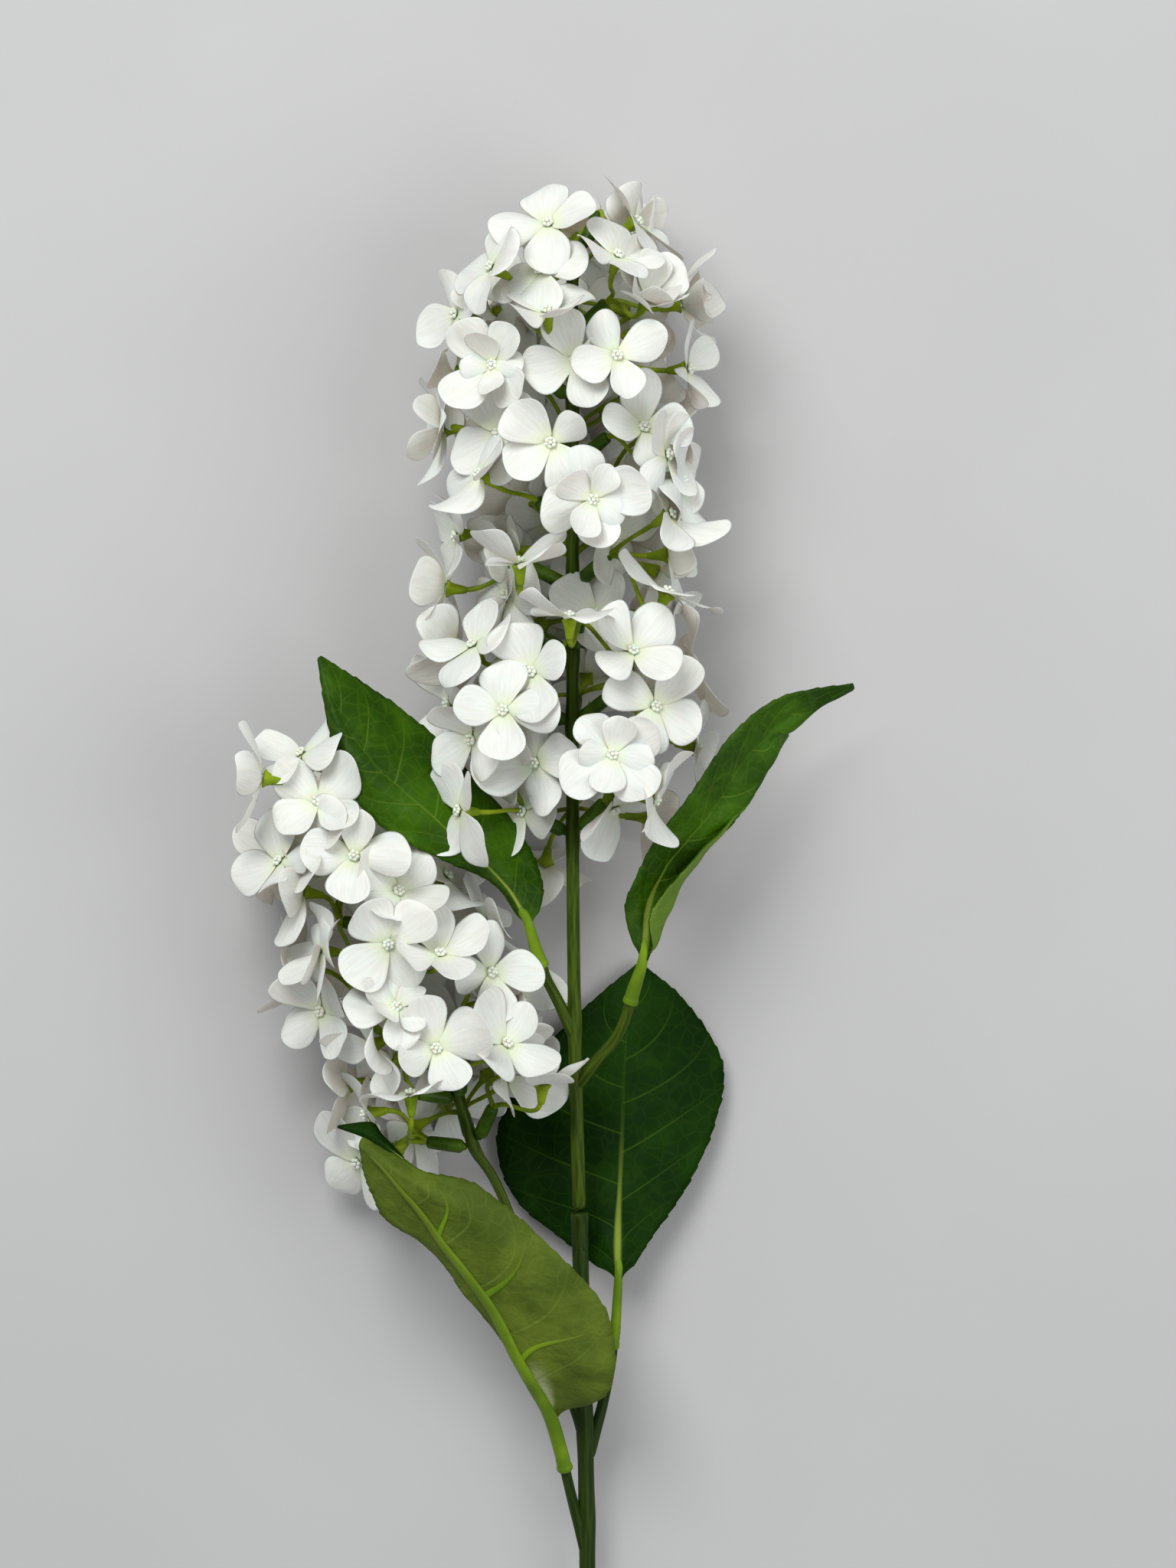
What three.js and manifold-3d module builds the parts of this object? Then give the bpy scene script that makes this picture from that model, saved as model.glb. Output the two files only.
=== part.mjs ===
// An artificial white lilac stem: two flower heads and four leaves on a wired plastic stem.
// It lies along +Y on the plane z = 0, cut end first. The origin is the flat spot under the
// cut end. Lengths are in millimetres and angles in degrees.
import * as THREE from 'three';
import { mergeVertices } from 'three/addons/utils/BufferGeometryUtils.js';
import Module from 'manifold-3d';

const wasm = await Module();
wasm.setup();

// ---- driving dimensions ----

const gap = 0.35;               // clearance between two pieces that touch
const lowerStemRadius = 2.75;
const upperStemRadius = 2.35;
const sideStemRadius = 2.1;
const branchRadius = 1.7;       // short branches that carry the leaves and the side stem
const stemSteps = { lower: 14, upper: 7, side: 7 };
const wireRadius = 0.8;
const collar = { radius: 3.1, length: 5, plugRadius: 1.5, plugLength: 7 };
const sleeve = { length: 11, radius: 2.6, boreRadius: 1.75, boreDepth: 6, sides: 4 };
const peg = { radius: 1.2, sides: 3, endPlay: 0.5, root: 2 };
const pedicel = { radius: 0.95, sides: 3, seat: 1.2, under: 0.1 };   // radius to a corner
const calyx = { radius: 2.2, length: 7 };
const petal = {
  notch: 3.6, dish: 0.4, thickness: 0.85, corners: [[12.9, -7.5], [16, 6]],
  bend: { least: -8, spread: 30 }, size: { least: 0.94, spread: 0.14 }, swing: 10,
};
// How a rule lays florets round a sleeve's end: turns in radians, rises in millimetres.
const spreading = { turn: 0.95, turnStray: 0.3, rise: 13, riseStray: 6, lift: 0.5, droop: 0.1, roll: 90 };
const headTop = { least: 0.06, behind: 95 };
const leafThickness = 0.9;
const leafGrid = { stations: 16, columns: { 3: 4, 4: 5 } };
const tooth = { depth: 0.06, start: 0.12, end: 0.97 };
const petiole = {
  ringRadius: 2.9, ringEnd: 2.4, shoulder: 2.8, radius: 2.2, sleeveEnd: 6.8,
  ribRadius: 1.6, tipRadius: 0.8, reach: 0.8, ribStations: [0.01, 0.15, 0.32, 0.5, 0.8],
};
// Side ribs of the front leaf: [place along the midrib, place of its end, end across the blade].
const sideRib = {
  places: [[0.17, 0.29, 0.75], [0.37, 0.49, 0.8], [0.58, 0.69, 0.67]], radii: [0.9, 0.75, 0.5],
};

const colours = {
  petals: 0xf2f3ee, lowerStem: 0x24401c, upperStem: 0x3a5a22, petiole: 0x6f962c,
  leafTop: 0x2a5a1c, wire: 0x8a8d90,
};

// ---- the stems' routes ----

const flatAxis = lowerStemRadius * Math.cos(Math.PI / 8);   // an eight-sided stem lies on one side
const stemRoute = [
  [0, -6, flatAxis], [0, 9, flatAxis], [0, 18, flatAxis], [0, 27, flatAxis], [0, 60, 4.2],
  [0, 120, 8], [0, 190, 14], [-1.2, 250, 21], [-2.6, 305, 28], [-4, 360, 34.6], [-4.7, 415, 39.6],
  [-4.8, 470, 41], [-4.8, 550, 42], [-4.8, 622, 42.5],
];
const collarPoint = 8;          // the lower stem ends here in its collar
const sideRoute = [
  [-5.5, 243, 19.5], [-15, 275, 20], [-29, 312, 24], [-37.3, 326, 27], [-42, 342, 29.5],
  [-49, 359, 31], [-57, 378, 32], [-65, 398, 33], [-73, 418, 33], [-82, 440, 33],
];
const branches = {
  front: [[0, 189, 14], [-2.2, 198, 15.4], [-4.3, 206, 17.6], [-6, 213.4, 21], [-7.2, 219, 23.6]],
  back: [[0.2, 222, 17.2], [2.6, 231, 17.2], [4.8, 239, 17.4], [7.2, 250, 18], [8.4, 258.6, 19.2]],
  side: [[-0.4, 226, 18], [-2.4, 234, 18.8], [-5.5, 243, 19.5], [-7.2, 248.7, 19.6]],
  right: [[-3.8, 346, 33.2], [3, 355.4, 36.6], [8.8, 361.8, 38.6], [12.3, 368.8, 41], [13.8, 374, 43]],
  upperLeft: [[-4.2, 363, 35.2], [-8.8, 373.4, 38], [-13, 381.6, 40.8], [-14.6, 386, 42.8]],
};

// ---- leaves: rails run from the leaf's base to its tip, side by side across the blade ----

const leaves = {
  back: {
    branch: 'back', rib: 1, faces: 1,
    rails: [
      [[7.3, 283, 21.6], [-6, 293, 14], [-24, 308, 9], [-30, 329, 6.5], [-19, 352, 6], [-1, 371, 5.5],
        [16, 385.4, 4.4]],
      [[10.3, 282.5, 23], [10.2, 298, 19], [11, 315.5, 15.5], [11.8, 335, 12], [12.4, 352, 9],
        [14, 370, 6.4], [17.5, 386.4, 4.4]],
      [[13.4, 283, 22.6], [21, 295, 16], [33, 312, 12], [42.5, 333, 9], [45, 353, 7], [33, 373, 6],
        [19, 385.4, 4.4]],
    ],
  },
  front: {
    branch: 'front', rib: 1, faces: -1,
    rails: [
      [[-14.8, 238.4, 29.6], [-24.3, 258.3, 42], [-38.3, 278.5, 48], [-52, 295.5, 51], [-65, 304.5, 53],
        [-71, 316, 55], [-76.5, 328.5, 55]],
      [[-11.5, 237.2, 30.4], [-21, 256.6, 45.4], [-30.5, 275.5, 52], [-43, 293, 56], [-54.5, 308.5, 59],
        [-64, 321, 60], [-76, 331, 56.5]],
      [[-8.6, 238.4, 31.6], [-5, 254, 50], [-12, 273.5, 56], [-26, 293, 61], [-41, 309, 64],
        [-57, 321, 64], [-77.6, 332.6, 55.4]],
      [[-6, 240, 33.4], [7.4, 249.5, 50], [6.6, 274, 55], [-11.5, 296, 60], [-36, 316.6, 61],
        [-53, 327.5, 54.5], [-80, 334, 54]],
    ],
  },
  right: {
    branch: 'right', rib: 1, faces: 1,
    rails: [
      [[16.4, 388.8, 48.4], [12.6, 406, 54], [20.5, 425, 60], [33.5, 443, 62], [46.5, 461.6, 61],
        [63, 474, 56], [86.6, 478.8, 46]],
      [[18.3, 388.6, 49], [19.5, 406, 51], [27, 421, 54], [40.5, 437, 55], [52, 455, 54],
        [66.5, 469, 51], [87, 477.8, 45]],
      [[20.3, 388.4, 49.2], [26.5, 403.4, 50], [34, 419, 51], [47, 433.6, 50], [58, 449.5, 49],
        [69, 465.6, 47.6], [87, 477.2, 44.2]],
      [[21.6, 388.8, 50.4], [21.2, 405, 56], [35.6, 423, 57], [52.4, 440, 49], [63, 458, 45],
        [73, 470.6, 45], [86.6, 476.6, 43.4]],
    ],
  },
  upperLeft: {
    branch: 'upperLeft', rib: 1, faces: 1,
    rails: [
      [[-21, 399.8, 49.4], [-30.5, 413.6, 51], [-49, 422.5, 56], [-65, 431, 58], [-78, 446, 58],
        [-83.6, 464, 56], [-87.6, 486.4, 51]],
      [[-18.8, 400.4, 50.4], [-27, 413.5, 52], [-43, 429, 56], [-58.5, 443, 58], [-71, 455, 58],
        [-80, 469, 56], [-87.2, 487.2, 51]],
      [[-16.6, 400, 49.4], [-14.6, 414, 46], [-22.5, 431, 44], [-38, 449.5, 43], [-53.5, 464.5, 44],
        [-70.5, 477, 46.5], [-86.6, 487.6, 50.4]],
    ],
  },
};

// ---- flower heads ----
// A spray is [height of its peg on the stem, azimuth, steepness, florets]. Azimuth 0 faces +Z
// and 90 faces +X; steepness is the sleeve's angle from the stem. A floret is
// [x, y, depth layer, yaw, pitch, roll, lift]: it lies on the head's round, layer 0 outermost,
// facing yaw and pitch (yaw as azimuth, pitch up along +Y). A number in place of the florets is
// how many a rule spreads round the sleeve's far end.

const mainHead = {
  name: 'main_spray', route: stemRoute, layers: [39, 32, 25], tops: [612, 22],
  sprays: [
    [429, -80, 62, [[-41.5, 437.5, 0, -60, 5, 40, 8], [-37.5, 460.6, 0, -35, -20, 20],
      [-17, 453, 2, -30, -10, 10]]],
    [429, 55, 48, [[8, 455.5, 0, 5, 5, 35], [22, 441, 0, 78, -8, 20], [9, 438, 2, 40, -60, 0]]],
    [429, 180, 60, [[-14, 419, 2, -165, -55, 20], [4, 446, 1, 170, 10, 40]]],
    [465, -70, 62, [[-27, 469.8, 0, -15, 0, 0], [-45.6, 472.5, 1, -80, 0, 30], [-24, 452, 2, -40, -25, 45]]],
    [465, 60, 55, [[22, 471, 0, 25, 8, 60], [36, 458, 1, 85, -10, 0]]],
    [467, 175, 62, 2],
    [488, -100, 60, [[-37, 491, 0, -40, 48, 10], [-44, 490, 1, -120, 10, 40]]],
    [488, 10, 50, [[-5.6, 499.5, 0, 0, 62, 30], [14.7, 488.7, 0, 10, 36, 45], [-18, 482, 1, -20, 10, 20]]],
    [490, 125, 60, [[34, 486, 0, 95, 5, 0]]],
    [510, -75, 64, [[-21.8, 517, 0, -25, 55, 40], [-46.8, 510, 0, -88, 5, 10], [-42.8, 527, 1, -70, -12, 50]]],
    [510, 70, 50, [[26, 508, 0, 40, 52, 20], [27, 521, 1, 80, 5, 0], [27, 533, 0, 65, 28, 40]]],
    [512, 180, 60, 2],
    [530, -60, 58, [[-35, 546, 0, -55, 30, 0]]],
    [530, 25, 55, [[1.8, 537, 0, 10, -14, 15], [31, 544, 0, 70, 12, 30]]],
    [532, 140, 60, 2],
    [550, -45, 62, [[-11.6, 555, 0, -8, -6, 38], [-28.8, 559, 1, -28, 5, 20], [-47.5, 562, 0, -85, 0, 0]]],
    [550, 60, 55, [[18.4, 561, 1, 15, 20, 10], [26, 552, 0, 60, 10, 50]]],
    [552, 185, 60, 2],
    [571, -50, 58, [[-30.5, 580.6, 0, -22, 0, 45], [-3.8, 582, 1, -5, 0, 20], [-44, 580, 1, -105, 5, 10]]],
    [571, 60, 52, [[9.5, 583, 0, 12, 6, 20], [33, 581, 0, 72, 5, 40]]],
    [573, 160, 58, 2],
    [592, -75, 54, [[-43, 599, 0, -55, 6, 25], [-13, 597, 0, -10, 55, 40], [-31, 612, 0, -60, 25, 0]]],
    [592, 60, 50, [[19.6, 602, 0, 30, 40, 25], [10, 615, 0, 25, 50, 0], [31, 603, 1, 90, 15, 10]]],
    [594, 185, 52, 2],
    [613, -60, 28, [[-15, 611, 1, -40, 22, 15], [-12.6, 626, 0, -15, 32, 10]]],
    [613, 120, 26, [[16, 628, 0, 80, 36, 30], [-3, 627, 2, 170, 50, 0]]],
  ],
};
const sideHead = {
  name: 'side_spray', route: sideRoute, layers: [33, 27, 20], tops: [446, 14],
  sprays: [
    [326, -92, 60, [[-76, 321, 0, -40, -22, 30], [-72.5, 338, 0, -80, -10, 20], [-57, 346, 0, -10, 60, 40]]],
    [326, 70, 48, [[-14.5, 349, 0, 20, 58, 10], [-26, 350, 2, 60, 15, 45]]],
    [328, 180, 62, 2],
    [342, -65, 60, [[-70, 361, 0, -62, -25, 0], [-79, 347, 1, -100, -10, 20]]],
    [342, 20, 50, [[-48.6, 361, 0, 0, 0, 20], [-26, 362, 0, 25, 30, 50]]],
    [344, 155, 60, 2],
    [359, -60, 58, [[-61.4, 374, 0, 10, 35, 0], [-87, 372, 0, -30, -5, 30], [-95, 386, 1, -90, 5, 10]]],
    [359, 70, 55, [[-31, 385, 0, 25, 0, 0], [-21, 374, 1, 70, 0, 30]]],
    [378, 180, 60, 2],
    [378, 5, 55, [[-64, 394.5, 0, 5, -10, 40], [-47.5, 391.5, 0, 15, 45, 10]]],
    [398, -80, 58, [[-86.6, 392, 0, -75, 5, 20], [-93, 411, 1, -70, 10, 0]]],
    [398, 70, 55, [[-61, 411.5, 1, 20, 20, 50], [-32, 401, 2, 80, 30, 10], [-46, 416, 2, 60, 40, 0]]],
    [418, 180, 58, 3],
    [418, -10, 50, [[-75, 423, 0, -5, 5, 0], [-90, 426, 1, -50, 10, 30]]],
    [434, -65, 48, [[-100, 421, 0, -50, 32, 20], [-105.5, 448, 0, -80, 10, 0]]],
    [436, 40, 34, [[-87, 440.5, 1, -5, 20, 45], [-93, 456, 1, -60, 45, 10]]],
  ],
};

// ---- small tools ----

const radians = THREE.MathUtils.degToRad;
const vec = (p) => new THREE.Vector3(...p);
const spline = (points) => new THREE.CatmullRomCurve3(points.map(vec), false, 'catmullrom', 0.5);
// The place of the n-th draw in an even, repeatable sequence.
const draw = (n, k) => (n * [0.8191725, 0.6710436, 0.5497005][k]) % 1;

// A closed geometry as a solid, turned right way out.
function solid(geometry) {
  geometry.deleteAttribute('normal');
  geometry.deleteAttribute('uv');
  const merged = mergeVertices(geometry, 1e-4);
  const build = (triangles) => new wasm.Manifold(new wasm.Mesh({
    numProp: 3, vertProperties: merged.attributes.position.array, triVerts: triangles,
  }));
  const triangles = new Uint32Array(merged.index.array);
  const made = build(triangles);
  if (made.volume() > 0) return made;
  return build(triangles.slice().reverse());
}

const union = (solids) => solids.reduce((all, next) => all.add(next));

// A round bar of one radius along a route.
function bar(points, radius, sides, steps) {
  const section = new THREE.Shape();
  for (let i = 0; i < sides; i += 1) {
    const angle = 2 * Math.PI * (i + 0.5) / sides;
    const corner = [radius * Math.cos(angle), radius * Math.sin(angle)];
    if (i === 0) section.moveTo(...corner); else section.lineTo(...corner);
  }
  const options = { steps, bevelEnabled: false, extrudePath: spline(points) };
  return solid(new THREE.ExtrudeGeometry(section, options));
}

// A closed skin over rings of points, each end closed by a fan.
function skin(rings) {
  const count = rings[0].length;
  const positions = rings.flat().flatMap((p) => [p.x, p.y, p.z]);
  const index = [];
  for (let r = 0; r + 1 < rings.length; r += 1) {
    for (let i = 0; i < count; i += 1) {
      const a = r * count + i;
      const b = r * count + (i + 1) % count;
      index.push(a, b, b + count, a, b + count, a + count);
    }
  }
  const last = (rings.length - 1) * count;
  for (let i = 1; i + 1 < count; i += 1) {
    index.push(0, i + 1, i, last, last + i, last + i + 1);
  }
  const geometry = new THREE.BufferGeometry();
  geometry.setAttribute('position', new THREE.Float32BufferAttribute(positions, 3));
  geometry.setIndex(index);
  return solid(geometry);
}

// Rings of given radii square to a line of points, turned as little as possible.
function ringsAlong(points, radii, sides, firstSide) {
  const rings = [];
  let across = firstSide.clone();
  points.forEach((point, i) => {
    const before = points[Math.max(i - 1, 0)];
    const after = points[Math.min(i + 1, points.length - 1)];
    const along = after.clone().sub(before).normalize();
    across = across.sub(along.clone().multiplyScalar(across.dot(along))).normalize();
    const other = along.clone().cross(across);
    const ring = [];
    for (let k = 0; k < sides; k += 1) {
      const angle = 2 * Math.PI * k / sides;
      ring.push(point.clone().addScaledVector(across, radii[i] * Math.cos(angle))
        .addScaledVector(other, radii[i] * Math.sin(angle)));
    }
    rings.push(ring);
  });
  return rings;
}

const taper = (...options) => skin(ringsAlong(...options));

// A straight bar from a point along a direction: a sleeve, peg, plug or bore.
function straight(start, direction, length, radius, sides) {
  const end = start.clone().addScaledVector(direction, length);
  const firstSide = Math.abs(direction.z) < 0.9 ? new THREE.Vector3(0, 0, 1) : new THREE.Vector3(0, 1, 0);
  return taper([start, end], [radius, radius], sides, firstSide);
}

// The point of a route at a height y, found by halving.
function atHeight(route, y) {
  const curve = spline(route);
  let low = 0;
  let high = 1;
  for (let i = 0; i < 30; i += 1) {
    const middle = (low + high) / 2;
    if (curve.getPoint(middle).y < y) low = middle; else high = middle;
  }
  return { point: curve.getPoint(low), along: curve.getTangent(low) };
}

// The hole that takes a peg.
function boreAt(start, direction, sides) {
  const outside = start.clone().addScaledVector(direction, -1);
  return straight(outside, direction, sleeve.boreDepth + 1, sleeve.boreRadius, sides);
}

// ---- sprays ----

const faceTo = (yaw, pitch) => new THREE.Vector3(
  Math.sin(radians(yaw)) * Math.cos(radians(pitch)),
  Math.sin(radians(pitch)),
  Math.cos(radians(yaw)) * Math.cos(radians(pitch)),
);

// Where a spray's sleeve starts and points, from its peg's height, azimuth and steepness.
function socket(head, [height, azimuth, steepness]) {
  const { point, along } = atHeight(head.route, height);
  const out = faceTo(azimuth, 0);
  out.sub(along.clone().multiplyScalar(out.dot(along))).normalize();
  const direction = along.clone().multiplyScalar(Math.cos(radians(steepness)))
    .addScaledVector(out, Math.sin(radians(steepness)));
  const lean = radians(steepness);
  const clear = (upperStemRadius + gap + sleeve.radius * Math.cos(lean)) / Math.sin(lean);
  const start = point.clone().addScaledVector(direction, clear);
  const end = start.clone().addScaledVector(direction, sleeve.length);
  return { point, along, out, direction, start, end };
}

// The florets that a rule spreads round a sleeve's far end.
function spread(head, place, count, seed) {
  const side = place.along.clone().cross(place.out);
  const list = [];
  for (let i = 0; i < count; i += 1) {
    const turn = (i - (count - 1) / 2) * spreading.turn + (draw(seed + i, 0) - 0.5) * spreading.turnStray;
    const rise = spreading.rise * (1 + (i + seed) % 2) + spreading.riseStray * draw(seed + i, 1);
    const reach = head.layers[(i + seed) % 2];
    const facing = place.out.clone().multiplyScalar(Math.cos(turn))
      .addScaledVector(side, Math.sin(turn));
    const centre = place.point.clone().addScaledVector(facing, reach)
      .addScaledVector(place.along, rise);
    facing.addScaledVector(place.along, spreading.lift * draw(seed + i, 2) - spreading.droop).normalize();
    list.push({ centre, facing, roll: spreading.roll * draw(seed + i, 2) });
  }
  return list;
}

// A floret given by hand, laid on the round of its head.
function placed(head, [x, y, layer, yaw, pitch, roll, lift = 0]) {
  const { point, along } = atHeight(head.route, y);
  const offset = new THREE.Vector3(x - point.x, y - point.y, 0);
  const across = offset.sub(along.clone().multiplyScalar(offset.dot(along))).length();
  const [topStart, topLength] = head.tops;
  const narrowing = 1 - Math.min(1, Math.max(0, (y - topStart) / topLength)) ** 2;
  const round = head.layers[layer] ** 2 * Math.max(narrowing, headTop.least);
  const reach = Math.sqrt(Math.max(0, round - across ** 2));
  const side = Math.abs(yaw) > headTop.behind ? -1 : 1;
  return { centre: new THREE.Vector3(x, y, point.z + side * reach + lift), facing: faceTo(yaw, pitch), roll };
}

// The floret's axes: its facing, and the directions of its first two petals.
function floretAxes(floret) {
  const up = Math.abs(floret.facing.y) < 0.9 ? new THREE.Vector3(0, 1, 0) : new THREE.Vector3(0, 0, -1);
  const first = up.sub(floret.facing.clone().multiplyScalar(up.dot(floret.facing))).normalize();
  first.applyAxisAngle(floret.facing, radians(floret.roll));
  return { first, second: floret.facing.clone().cross(first) };
}

// The floret's outline, a cleft and two corners for each petal, each petal bent by its own draw.
function floretOutline(floret, seed, grow) {
  const { first, second } = floretAxes(floret);
  const outline = [];
  for (let k = 0; k < 4; k += 1) {
    const bend = radians(petal.bend.least + petal.bend.spread * draw(seed * 4 + k, 1));
    const size = petal.size.least + petal.size.spread * draw(seed * 4 + k, 0);
    const angle = radians(90 * k + petal.swing * (draw(seed * 4 + k, 2) - 0.5));
    const out = first.clone().multiplyScalar(Math.cos(angle)).addScaledVector(second, Math.sin(angle));
    const side = floret.facing.clone().cross(out);
    const cleft = first.clone().multiplyScalar(Math.cos(radians(90 * k - 45)))
      .addScaledVector(second, Math.sin(radians(90 * k - 45)));
    outline.push(floret.centre.clone().addScaledVector(cleft, petal.notch + grow)
      .addScaledVector(floret.facing, petal.dish));
    petal.corners.forEach(([along, across]) => {
      const beyond = along * size + grow - petal.notch;
      outline.push(floret.centre.clone()
        .addScaledVector(out, petal.notch + beyond * Math.cos(bend))
        .addScaledVector(floret.facing, beyond * Math.sin(bend))
        .addScaledVector(side, across * size + Math.sign(across) * grow));
    });
  }
  return outline;
}

// A floret whose petals would go below the surface is lifted until they rest on it.
function rest(floret, seed) {
  const lowest = Math.min(...floretOutline(floret, seed, 0).map((p) => p.z));
  const need = petal.thickness * Math.max(floret.facing.z, 0) - lowest;
  if (need > 0) floret.centre.z += need;
}

// The pedicel's three rings: under the floret, at the calyx's neck and in the sleeve's end.
function pedicelRings(place, floret, grow, sink) {
  const back = (distance) => floret.centre.clone().addScaledVector(floret.facing, -distance);
  const root = place.end.clone().addScaledVector(place.direction, -pedicel.seat);
  const radii = [calyx.radius, pedicel.radius, pedicel.radius].map((r) => r + 2 * grow);
  const neck = back(petal.thickness + calyx.length);
  const points = [back(petal.thickness + pedicel.under + sink), neck, root];
  return ringsAlong(points, radii, pedicel.sides, floretAxes(floret).first);
}

// A solid from points and triangles.
function faceted(points, index) {
  const geometry = new THREE.BufferGeometry();
  const positions = points.flatMap((p) => p.toArray());
  geometry.setAttribute('position', new THREE.Float32BufferAttribute(positions, 3));
  geometry.setIndex(index);
  return solid(geometry);
}

// A floret in one piece with its calyx and pedicel, or, swollen, the room that others keep out of.
function wholeFloret(place, floret, seed, grow) {
  const raise = floret.facing.clone().multiplyScalar(grow);
  const down = floret.facing.clone().multiplyScalar(-petal.thickness - 2 * grow);
  const over = floretOutline(floret, seed, grow).map((p) => p.add(raise));
  const under = over.map((p) => p.clone().add(down));
  const middle = floret.centre.clone().add(raise);
  const rings = pedicelRings(place, floret, grow, grow);
  const count = over.length;
  const ring = 2 * count;
  const index = [];
  const seat = (i) => (3 - Math.round((30 * (i + 0.5) - 45) / 120) % 3) % 3;
  for (let i = 0; i < count; i += 1) {
    const j = (i + 1) % count;
    index.push(ring + 9, i, j, i, count + i, count + j, i, count + j, j);
    index.push(count + j, count + i, ring + seat(i));
    if (seat(i) !== seat(j)) index.push(count + j, ring + seat(i), ring + seat(j));
  }
  for (let r = 0; r < 6; r += 3) {
    for (let k = 0; k < 3; k += 1) {
      const a = ring + r + k;
      const b = ring + r + (k + 1) % 3;
      index.push(a, b, b + 3, a, b + 3, a + 3);
    }
  }
  index.push(ring + 6, ring + 7, ring + 8);
  return faceted([...over, ...under, ...rings.flat(), middle], index);
}

// ---- leaves and their sleeves ----

// A point of the blade's middle surface: u runs from base to tip, v across the rails.
function bladePoint(leaf, u, v) {
  return spline(leaf.rails.map((rail) => spline(rail).getPoint(u).toArray())).getPoint(v);
}

function bladeNormal(leaf, u, v) {
  const step = 0.01;
  const clamp = (t) => Math.min(Math.max(t, 0), 1);
  const along = bladePoint(leaf, clamp(u + step), v).sub(bladePoint(leaf, clamp(u - step), v));
  const across = bladePoint(leaf, u, clamp(v + step)).sub(bladePoint(leaf, u, clamp(v - step)));
  return across.cross(along).normalize();
}

// A thin sheet between two grids of points, split into triangles alike on both faces.
function sheet(over, under) {
  const rows = over.length;
  const columns = over[0].length;
  const below = rows * columns;
  const index = [];
  const wall = (p, q) => index.push(q, p, p + below, q, p + below, q + below);
  for (let r = 0; r + 1 < rows; r += 1) {
    for (let j = 0; j + 1 < columns; j += 1) {
      const a = r * columns + j;
      const [b, c, d] = [a + 1, a + columns + 1, a + columns];
      index.push(a, b, c, a, c, d);
      index.push(below + a, below + c, below + b, below + a, below + d, below + c);
      if (r === 0) wall(a, b);
      if (r + 2 === rows) wall(c, d);
      if (j === 0) wall(d, a);
      if (j + 2 === columns) wall(b, c);
    }
  }
  return faceted([...over.flat(), ...under.flat()], index);
}

function blade(leaf, grow) {
  const { stations } = leafGrid;
  const columns = leafGrid.columns[leaf.rails.length];
  const over = [];
  const under = [];
  for (let i = 0; i <= stations; i += 1) {
    const u = i / stations;
    const row = [];
    for (let j = 0; j <= columns; j += 1) {
      const v = j / columns;
      const point = bladePoint(leaf, u, v);
      const edge = j === 0 || j === columns;
      if (edge) {
        const inner = bladePoint(leaf, u, j === 0 ? 1 / columns : 1 - 1 / columns);
        const outward = point.clone().sub(inner);
        const toothed = i % 2 === 1 && u > tooth.start && u < tooth.end;
        const width = bladePoint(leaf, u, 0).distanceTo(bladePoint(leaf, u, 1));
        point.addScaledVector(outward.normalize(), grow + (toothed ? tooth.depth * width : 0));
      }
      row.push({ point, normal: bladeNormal(leaf, u, v) });
    }
    const half = leafThickness / 2 + grow;
    over.push(row.map((p) => p.point.clone().addScaledVector(p.normal, half)));
    under.push(row.map((p) => p.point.clone().addScaledVector(p.normal, -half)));
  }
  return sheet(over, under);
}

// The rib's line below (or, on the front leaf, above) the blade, on its underside.
function ribPoint(leaf, u, v, radius) {
  const clear = leafThickness / 2 + gap + radius;
  return bladePoint(leaf, u, v).addScaledVector(bladeNormal(leaf, u, v), -leaf.faces * clear);
}

// The plastic sleeve on its branch's peg, carried on as the leaf's midrib.
function petioleSleeve(leaf, grow) {
  const end = branchEnd(leaf.branch);
  const from = (distance) => end.point.clone().addScaledVector(end.along, distance);
  const middle = leaf.rib / (leaf.rails.length - 1);
  const points = [gap, petiole.ringEnd, petiole.shoulder, petiole.sleeveEnd].map(from);
  const radii = [petiole.ringRadius, petiole.ringRadius, petiole.radius, petiole.radius];
  for (const u of petiole.ribStations) {
    const radius = THREE.MathUtils.lerp(petiole.ribRadius, petiole.tipRadius, u / petiole.reach);
    points.push(ribPoint(leaf, u, middle, radius));
    radii.push(radius);
  }
  const parts = [taper(points, radii.map((r) => r + grow), 6, new THREE.Vector3(0, 0, 1))];
  if (leaf.faces < 0) parts.push(...sideRibs(leaf, middle, grow));
  const whole = union(parts);
  if (grow > 0) return whole;
  return largest(whole.subtract(boreAt(end.point, end.along, 6)).subtract(blade(leaf, gap / 2)));
}

// Thinner ribs that leave the midrib of the leaf whose underside shows.
function sideRibs(leaf, middle, grow) {
  return sideRib.places.map(([from, to, end]) => {
    const points = sideRib.radii.map((radius, i) => {
      const t = i / (sideRib.radii.length - 1);
      const u = THREE.MathUtils.lerp(from, to, t);
      return ribPoint(leaf, u, THREE.MathUtils.lerp(middle, end, t), radius);
    });
    return taper(points, sideRib.radii.map((r) => r + grow), 3, new THREE.Vector3(0, 0, 1));
  });
}

// ---- stems ----

function branchEnd(name) {
  const curve = spline(branches[name]);
  return { point: curve.getPoint(1), along: curve.getTangent(1) };
}

// A short branch that ends in a peg.
function branch(name) {
  const end = branchEnd(name);
  const pegStart = end.point.clone().addScaledVector(end.along, -peg.root);
  const length = peg.root + sleeve.boreDepth - peg.endPlay;
  const pin = straight(pegStart, end.along, length, peg.radius, peg.sides);
  return bar(branches[name], branchRadius, 6, 3).add(pin);
}

// The peg that a spray's sleeve is pushed on.
function sprayPeg(place) {
  const length = place.start.distanceTo(place.point) + sleeve.boreDepth - peg.endPlay;
  return straight(place.point, place.direction, length, peg.radius, peg.sides);
}

// ---- assembly ----

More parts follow.
